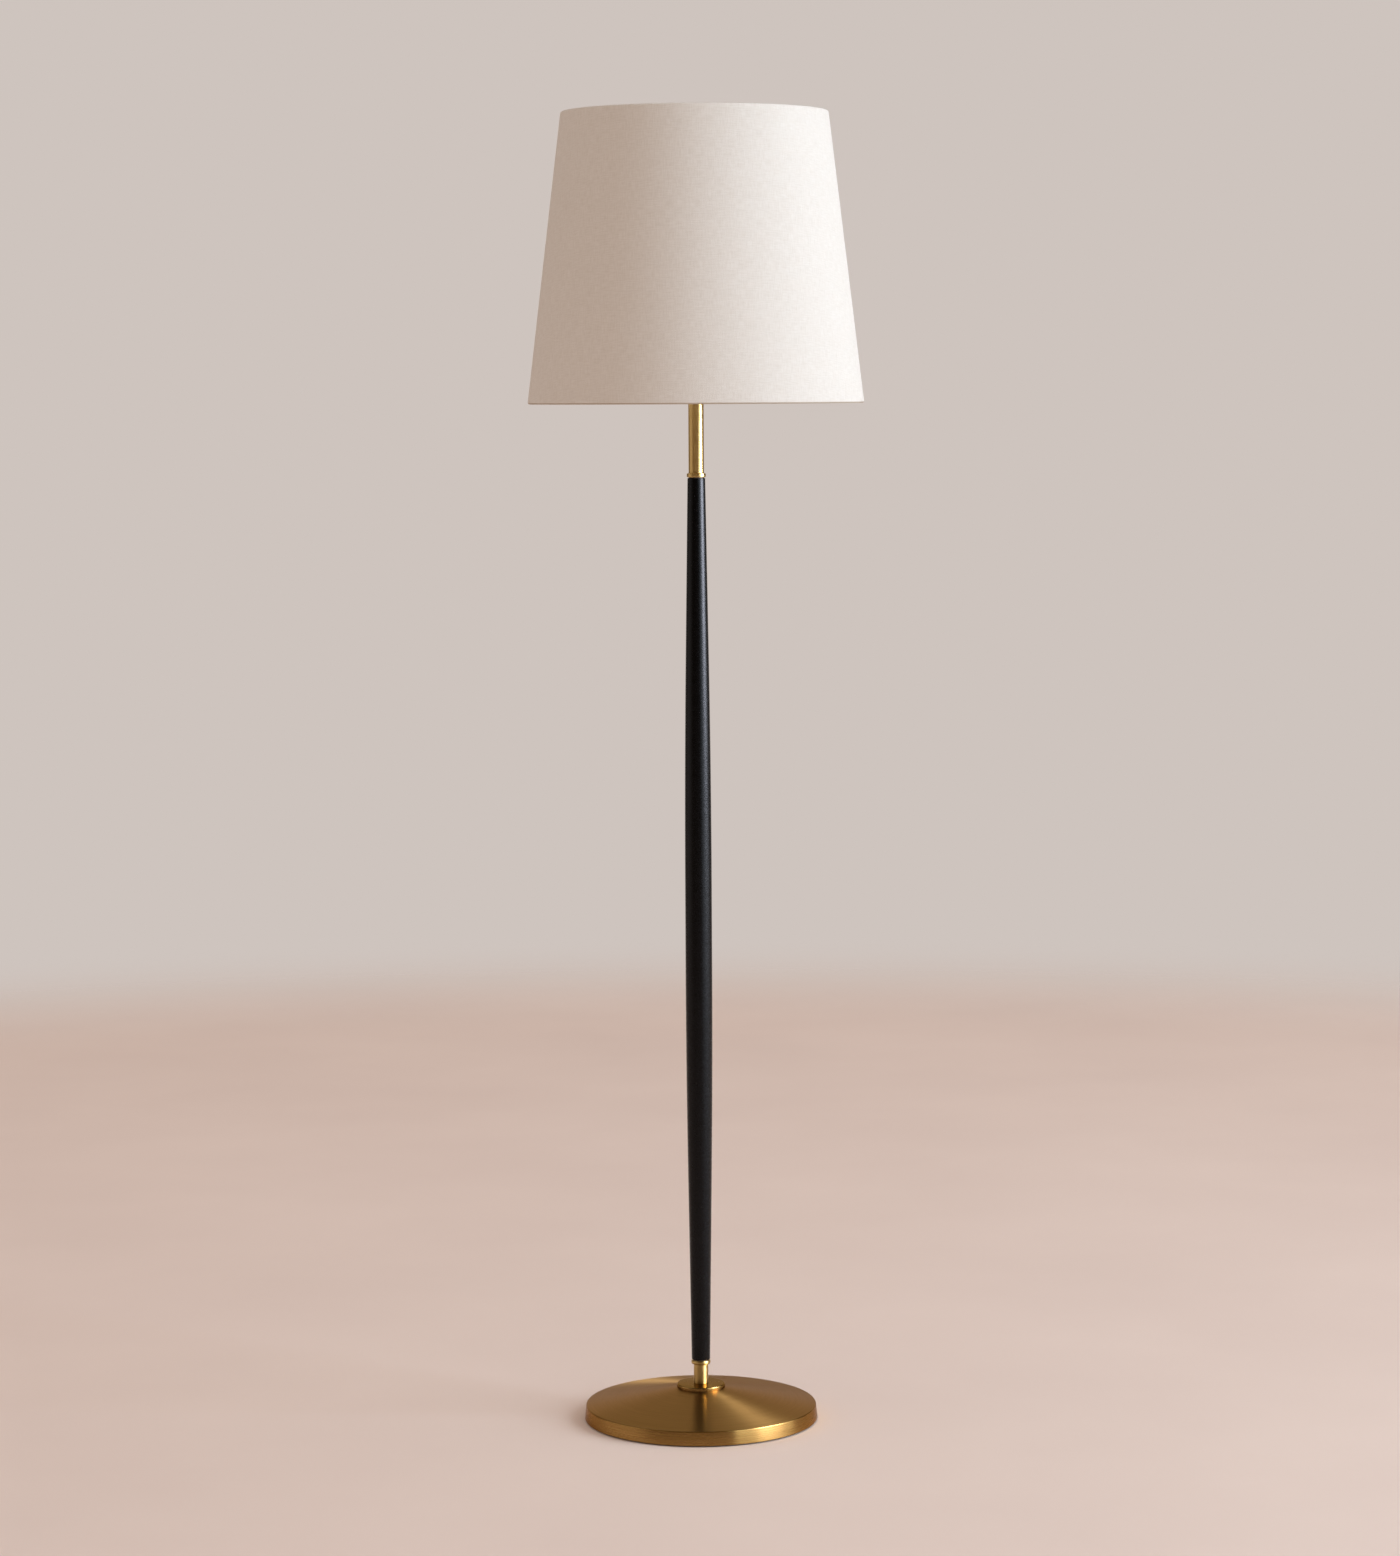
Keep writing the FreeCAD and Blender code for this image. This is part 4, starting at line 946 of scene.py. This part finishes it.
cut = add(tree, "GeometryNodeSetPosition", {"Geometry": sizes["Geometry"], "Offset": offset})
close_tree(tree, cut, sizes)


def threaded(name, outline, pitch, depth, inside, finish):
    """A turned piece with a thread on its outside wall, from its second point to its third."""
    start, end = Vector(outline[1]), Vector(outline[2])
    rows = int(abs(end.y - start.y) / pitch * ROWS_A_TURN)
    wall = [start.lerp(end, row / rows) for row in range(1, rows)]
    blank = turned(name + "_blank", outline[:2] + wall + outline[2:], THREAD_SIDES)
    piece = grown(
        name,
        blank.data,
        thread_tree,
        Pitch=pitch,
        Depth=depth,
        Inside=inside,
        Bottom=outline[1][1],
        Top=outline[2][1],
        Margin=THREAD_MARGIN,
        Finish=finish,
    )
    bpy.data.objects.remove(blank)
    return piece


skirt = threaded(
    "threaded_skirt",
    [
        (SKIRT_INSIDE, skirt_bottom),
        (skirt_radius, skirt_bottom),
        (skirt_radius, skirt_top),
        (SKIRT_LIP, skirt_top),
        (SKIRT_LIP, skirt_top - SKIRT_LIP_HEIGHT),
        (SKIRT_INSIDE, skirt_top - SKIRT_LIP_HEIGHT),
    ],
    SKIRT_PITCH,
    SKIRT_THREAD,
    (SKIRT_INSIDE + skirt_radius) / 2,
    black_plastic,
)
fit(skirt, black_plastic, "black_plastic", "stand", "lampholder_skirt")
dress(black_plastic, "lampholder_cap")
dress(zinc_steel, "lampholder_grub_screw")
porcelain = grained(
    "porcelain",
    colours=((0.80, 0.79, 0.76), (0.86, 0.85, 0.82)),
    clouds=0.005,
    roughness=(0.2, 0.32),
    patches=0.002,
    depth=0.00003,
    grain=0.001,
    Specular_IOR_Level=0.5,
    Coat_Weight=0.6,
    Coat_Roughness=0.08,
)
dress(porcelain, "lampholder_insert")
dress(contact_brass, "lampholder_terminals", "lampholder_contact", "lampholder_thread")

# Shade rings: two moulded rings on the skirt's thread, one under and one over the fitter
# ring. Ribs round the outside give the fingers a grip.
RIB_COUNT = 36
RIB_WIDTH = 0.0022
RIB_DEPTH = 0.0012
RIB_SIDES = 10
RING_EDGE = 0.0008
RING_BORE = 0.0199
RING_SIDES = 144
tree, sizes = new_tree("grip_ribs", ("Radius", "Width", "Height"), ("Count",))
around = {"Vertices": sizes["Count"], "Radius": sizes["Radius"]}
rib_size = {"Vertices": RIB_SIDES, "Depth": sizes["Height"]}
rib_size["Radius"] = calculate(tree, "DIVIDE", sizes["Width"], 2.0)
ribs = add(
    tree,
    "GeometryNodeInstanceOnPoints",
    {
        "Points": add(tree, "GeometryNodeMeshCircle", around),
        "Instance": add(tree, "GeometryNodeMeshCylinder", rib_size),
    },
)
joined = add_node(tree, "GeometryNodeJoinGeometry")
tree.links.new(ribs, joined.inputs[0])
tree.links.new(sizes["Geometry"], joined.inputs[0])
close_tree(tree, joined.outputs[0], sizes)
for node, name, body in (
    ("shade_ring_lower", "grip_ring_lower", "stand"),
    ("shade_ring_upper", "grip_ring_upper", "clamp_ring"),
):
    ring_radius, ring_bottom, ring_top = size_of(node)
    wall = ring_radius - RIB_DEPTH
    blank = ring(name + "_blank", RING_BORE, wall, ring_bottom, ring_top, RING_EDGE, RING_SIDES)
    ring_middle = (ring_bottom + ring_top) / 2
    blank.data.transform(Matrix.Translation((0, 0, -ring_middle)))
    grip = grown(
        name,
        blank.data,
        tree,
        Radius=ring_radius - RIB_WIDTH / 2,
        Count=RIB_COUNT,
        Width=RIB_WIDTH,
        Height=ring_top - ring_bottom - 2 * RING_EDGE,
        Finish=black_plastic,
    )
    bpy.data.objects.remove(blank)
    grip.data.transform(Matrix.Translation((0, 0, ring_middle)))
    fit(grip, black_plastic, "black_plastic", body, node)

# Shade cloth: off-white linen, cut as one sector of a ring and laminated onto its liner. It
# overlaps along the back and is rolled over a steel wire at the foot and at the crown.
CLOTH = 0.00055
TURN_IN = 0.011
TURN_IN_SLOPE = 0.0045
LINER = 0.0005
LAMINATE = 0.00005
LAP = 0.010
LAP_EDGE = 0.0005
LAP_RAMP = 0.006
LAP_RISE = 0.0006
EDGE_SHARES = (0.0, 0.35, 0.65, 1.0)
RAMP_SHARES = (0.25, 0.5, 0.75, 1.0)
SHADE_COLUMNS = 360
HEM_STEPS = 12
CLOTH_SMOOTH_ANGLE = math.radians(60)
foot_low, foot_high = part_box("hem_bottom")
crown_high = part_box("hem_top")[1]
hem_radius = (foot_high.z - foot_low.z) / 2
foot_wire = Vector((foot_high.x - hem_radius, foot_low.z + hem_radius))
crown_wire = Vector((crown_high.x - hem_radius, crown_high.z - hem_radius))
slant = (crown_wire - foot_wire).length
up_side = (crown_wire - foot_wire) / slant
away = Vector((up_side.y, -up_side.x))
half_cloth = CLOTH / 2
around_wire = hem_radius - half_cloth
liner_outside = hem_radius - CLOTH - LAMINATE
turn_in_offset = liner_outside - LINER - LAMINATE - half_cloth


def side_place(along, offset):
    """A point of the shade's section, from its place along the side and out from the wires."""
    return foot_wire + up_side * along + away * offset


def eased(share):
    """A share from 0 to 1 that starts and ends gently."""
    share = min(max(share, 0), 1)
    return share * share * (3 - 2 * share)


cloth_line = []
for step in range(HEM_STEPS + 1):
    along = TURN_IN * (1 - step / HEM_STEPS)
    offset = turn_in_offset + (-around_wire - turn_in_offset) * eased(1 - along / TURN_IN_SLOPE)
    cloth_line.append((along, offset))
for step in range(1, HEM_STEPS + 1):
    angle = math.pi * step / HEM_STEPS
    cloth_line.append((-around_wire * math.sin(angle), -around_wire * math.cos(angle)))
cloth_line += [(slant - along, offset) for along, offset in cloth_line[::-1]]
lengths = [0.0]
for before, after in zip(cloth_line, cloth_line[1:]):
    lengths.append(lengths[-1] + math.dist(before, after))
outer_start = lengths[2 * HEM_STEPS]
left, right = [], []
for number, spot in enumerate(cloth_line):
    before = Vector(cloth_line[max(number - 1, 0)])
    after = Vector(cloth_line[min(number + 1, len(cloth_line) - 1)])
    heading = (after - before).normalized()
    aside = Vector((-heading.y, heading.x)) * half_cloth
    left.append((Vector(spot) + aside, lengths[number]))
    right.append((Vector(spot) - aside, lengths[number]))
section = [(side_place(*spot), length) for spot, length in left + right[::-1]]
half_angle_sine = (foot_wire.x - crown_wire.x) / slant
flat_foot = foot_high.x / half_angle_sine
marks = [LAP_EDGE * share for share in EDGE_SHARES] + [LAP]
marks += [LAP + LAP_RAMP * share for share in RAMP_SHARES]
first_free = (LAP + LAP_RAMP) / crown_wire.x
columns = [math.tau * step / SHADE_COLUMNS for step in range(SHADE_COLUMNS)]
columns = [angle for angle in columns if angle > first_free]
columns = sorted(columns + [mark / foot_wire.x for mark in marks])


def lap_rise(angle):
    """How far the cloth stands out where its two ends overlap."""
    along = angle * foot_wire.x
    return LAP_RISE * eased(along / LAP_EDGE) * (1 - eased((along - LAP) / LAP_RAMP))


cloth_vertices = []
for angle in columns:
    facing = angle + math.pi / 2
    for spot, length in section:
        radius = spot.x + lap_rise(angle)
        cloth_vertices.append((radius * math.cos(facing), radius * math.sin(facing), spot.y))
cloth_faces, cloth_places = [], []
count = len(section)
for number, angle in enumerate(columns):
    after = (number + 1) % len(columns)
    ends = (angle, columns[after] if after else math.tau)
    here, there = number * count, after * count
    for row in range(count):
        ahead = (row + 1) % count
        cloth_faces.append((here + row, there + row, there + ahead, here + ahead))
        for end, mark in ((0, row), (1, row), (1, ahead), (0, ahead)):
            reach = flat_foot - (section[mark][1] - outer_start)
            swing = (ends[end] - math.pi) * half_angle_sine
            cloth_places.append((reach * math.sin(swing), reach * math.cos(swing)))
cloth_mesh = bpy.data.meshes.new("shade_cloth")
cloth_mesh.from_pydata(cloth_vertices, [], cloth_faces)
flat_map = cloth_mesh.uv_layers.new(name="flat_cloth")
flat_map.data.foreach_set("uv", [number for place in cloth_places for number in place])
smooth(cloth_mesh, CLOTH_SMOOTH_ANGLE)
face_outwards(cloth_mesh)
shade_cloth = add_object("shade_cloth", cloth_mesh)

# Linen: a plain weave that drifts a little, with thicker stretches of yarn both ways, laid out on
# the flat cloth. A darker line of painted shade runs along the foot, for the dimmer light under
# the fold.
THREAD_SPACING = 0.0011
DRIFT_SIZE = 0.006
WEAVE_DEPTH = 0.00008
SLUB_SIZE = 0.0013
SLUB_DEPTH = 0.0002
SLUB_STRETCH = 9
FOLD_SHADE_HEIGHT = 0.0013
FOLD_SHADE_FADE = 0.0007
FOLD_SHADE_COLOUR = (0.50, 0.42, 0.33, 1)
MIX_SHARE, MIX_FIRST, MIX_SECOND, MIX_RESULT = 0, 6, 7, 2
linen = new_finish("linen", Roughness=0.9, Specular_IOR_Level=0.25, Sheen_Weight=0.15)
tree = linen.node_tree
flat_place = add(tree, "ShaderNodeUVMap", uv_map="flat_cloth")
drift = {0: (THREAD_SPACING, THREAD_SPACING, 0)}
drift["Scale"] = noise(linen, DRIFT_SIZE, detail=2.0, place=flat_place)
waver = add(tree, "ShaderNodeVectorMath", drift, operation="SCALE")
woven = calculate_vector(tree, "ADD", flat_place, waver)
threads_a_metre = math.tau / THREAD_SPACING
parts = split(tree, scaled(linen, woven, (threads_a_metre, threads_a_metre, 0)))
waves = [calculate(tree, "SINE", parts[axis]) for axis in ("X", "Y")]
both_ways = ((SLUB_STRETCH, 1, 1), (1, SLUB_STRETCH, 1))
yarns = [noise(linen, SLUB_SIZE, way, detail=2.0, place=flat_place) for way in both_ways]
slubs = calculate(tree, "MULTIPLY", calculate(tree, "ADD", *yarns), 0.5)
tint(linen, slubs, (0.775, 0.74, 0.68), (0.86, 0.833, 0.782), low=0.36, high=0.64)
emboss(linen, calculate(tree, "MULTIPLY", *waves), WEAVE_DEPTH)
emboss(linen, slubs, SLUB_DEPTH)
# Painted shade: the lowest band of the cloth is mixed towards a darker colour for the fold's shade.
height = split(tree, own_place(linen))["Z"]
fold_shade_top = foot_low.z + FOLD_SHADE_HEIGHT
in_fold_shade = spread(tree, height, fold_shade_top, fold_shade_top + FOLD_SHADE_FADE, 1, 0)
plain_colour = tree.nodes["Principled BSDF"].inputs["Base Color"].links[0].from_socket
colours = {MIX_SHARE: in_fold_shade, MIX_FIRST: plain_colour, MIX_SECOND: FOLD_SHADE_COLOUR}
feed(linen, "Base Color", add(tree, "ShaderNodeMix", colours, MIX_RESULT, data_type="RGBA"))
fit(shade_cloth, linen, "shade_cloth", "shade", "shade_fabric", "hem_bottom", "hem_top")

# Liner: a stiff white plastic sheet with the cloth laminated on its outside. It stops short of
# the wires, and the cloth's turned-in edges cover its ends.
LINER_GAP = 0.002
liner_inside = liner_outside - LINER
liner_line = [
    (LINER_GAP, liner_inside),
    (LINER_GAP, liner_outside),
    (slant - LINER_GAP, liner_outside),
    (slant - LINER_GAP, liner_inside),
]
liner = turned("liner_sheet", [tuple(side_place(*spot)) for spot in liner_line], SHADE_COLUMNS)
lining = grained(
    "shade_lining",
    colours=((0.80, 0.79, 0.76), (0.84, 0.83, 0.80)),
    clouds={"size": 0.02, "detail": 4.0},
    roughness=(0.42, 0.55),
    patches=0.006,
    depth=0.00004,
    grain={"size": 0.0012, "detail": 2.0},
    Specular_IOR_Level=0.45,
)
fit(liner, lining, "shade_lining", "shade", "shade_liner")

# Shade frame: two steel rings in the hems, and three arms that slope down from the flat
# fitter ring to the foot. The wire is dipped in white enamel, and the fitter ring is plated.
WIRE = 0.00175
WIRE_SIDES = 20
ARM_COUNT = 3
ARM_STRAIGHT = 0.010
ARM_BEND = 0.009
BEND_STEPS = 10
white_wire = grained(
    "white_wire",
    colours=((0.74, 0.73, 0.70), (0.80, 0.79, 0.76)),
    clouds=0.005,
    roughness=(0.3, 0.42),
    patches=0.002,
    depth=0.00008,
    grain=0.0015,
    Specular_IOR_Level=0.5,
    Coat_Weight=0.3,
    Coat_Roughness=0.15,
)
dress(white_wire, "wire_top", "wire_bottom")
dress(zinc_steel, "fitter_ring")
tree, sizes = new_tree("bent_arms", ("Bend", "Thickness"), ("Count",))
arm_curve = add(tree, "GeometryNodeMeshToCurve", {0: sizes["Geometry"]})
bends = {"Curve": arm_curve, "Radius": sizes["Bend"], "Count": BEND_STEPS}
round_wire = {"Resolution": WIRE_SIDES, "Radius": sizes["Thickness"]}
arm = {
    "Curve": add(tree, "GeometryNodeFilletCurve", bends, mode="POLY"),
    "Profile Curve": add(tree, "GeometryNodeCurvePrimitiveCircle", round_wire),
    "Fill Caps": True,
}
apart = calculate(tree, "DIVIDE", math.tau, sizes["Count"])
arm_angle = calculate(tree, "MULTIPLY", add(tree, "GeometryNodeInputIndex"), apart)
arm_copies = add(
    tree,
    "GeometryNodeInstanceOnPoints",
    {
        "Points": add(tree, "GeometryNodePoints", {"Count": sizes["Count"]}),
        "Instance": add(tree, "GeometryNodeCurveToMesh", arm),
        "Rotation": add(tree, "ShaderNodeCombineXYZ", {"Z": arm_angle}),
    },
)
close_tree(tree, arm_copies, sizes)
fitter_radius, fitter_bottom, fitter_top = size_of("fitter_ring")
fitter_middle = (fitter_bottom + fitter_top) / 2
arm_end = foot_wire.x - hem_radius
arm_mesh = bpy.data.meshes.new("arm_line")
arm_mesh.from_pydata(
    [
        (fitter_radius, 0, fitter_middle),
        (fitter_radius + ARM_STRAIGHT, 0, fitter_middle),
        (arm_end - ARM_STRAIGHT, 0, foot_wire.y),
        (arm_end, 0, foot_wire.y),
    ],
    [(0, 1), (1, 2), (2, 3)],
    [],
)
arms = grown(
    "frame_arms",
    arm_mesh,
    tree,
    Bend=ARM_BEND,
    Thickness=WIRE,
    Count=ARM_COUNT,
    Finish=white_wire,
)
fit(arms, white_wire, "white_wire", "shade", "spider_arms")

# Bulb: a frosted plastic dome on a white moulded housing, over a plated screw cap. A light
# board and a driver board stand inside.
CAP_PITCH = 0.00362
CAP_DEPTH = 0.0009
CAP_WALL = 0.0004
CAP_LINES = 0.0006
CAP_PATCHES, CAP_ROUGHNESS = 0.002, (0.18, 0.34)
CAP_GRAIN, CAP_GRAIN_DEPTH = 0.0008, 0.00002
opal = grained(
    "opal",
    colours=((0.83, 0.82, 0.79), (0.87, 0.86, 0.83)),
    clouds={"size": 0.01, "detail": 4.0},
    roughness=(0.32, 0.42),
    patches=0.002,
    depth=0.00001,
    grain=0.0004,
    Specular_IOR_Level=0.5,
    Coat_Weight=0.15,
    Coat_Roughness=0.3,
)
dress(opal, "bulb_dome")
bulb_plastic = grained(
    "bulb_plastic",
    colours=((0.78, 0.77, 0.75), (0.83, 0.82, 0.80)),
    clouds=0.006,
    roughness=(0.28, 0.4),
    patches=0.002,
    depth=0.00002,
    grain=0.0005,
    Specular_IOR_Level=0.5,
)
dress(bulb_plastic, "bulb_housing")
cap_metal = new_finish("cap_metal", Metallic=1.0)
tint(cap_metal, round_lines(cap_metal, CAP_LINES), (0.55, 0.55, 0.54), (0.70, 0.70, 0.69))
vary_roughness(cap_metal, noise(cap_metal, CAP_PATCHES), *CAP_ROUGHNESS)
emboss(cap_metal, noise(cap_metal, CAP_GRAIN), CAP_GRAIN_DEPTH)
dress(cap_metal, "bulb_contact")
cap_glass = grained(
    "cap_glass",
    colours=((0.006, 0.006, 0.008), (0.014, 0.013, 0.016)),
    clouds=0.003,
    roughness=(0.08, 0.2),
    patches=0.001,
    depth=0.00003,
    grain=0.001,
    Specular_IOR_Level=0.6,
)
dress(cap_glass, "bulb_insulator")
circuit_board = grained(
    "circuit_board",
    colours=((0.60, 0.60, 0.58), (0.72, 0.72, 0.70)),
    clouds={"size": 0.003, "detail": 2.0},
    roughness=(0.35, 0.55),
    patches=0.001,
    depth=0.00003,
    grain=0.0006,
    Specular_IOR_Level=0.5,
)
dress(circuit_board, "bulb_board", "bulb_driver")
cap_radius, cap_bottom, cap_top = size_of("bulb_cap")
cap_inside = cap_radius - CAP_WALL - CAP_DEPTH
cap = threaded(
    "threaded_cap",
    [
        (cap_inside, cap_bottom),
        (cap_radius, cap_bottom),
        (cap_radius, cap_top),
        (cap_inside, cap_top),
    ],
    CAP_PITCH,
    CAP_DEPTH,
    cap_radius - CAP_WALL / 2,
    cap_metal,
)
fit(cap, cap_metal, "cap_metal", "bulb", "bulb_cap")
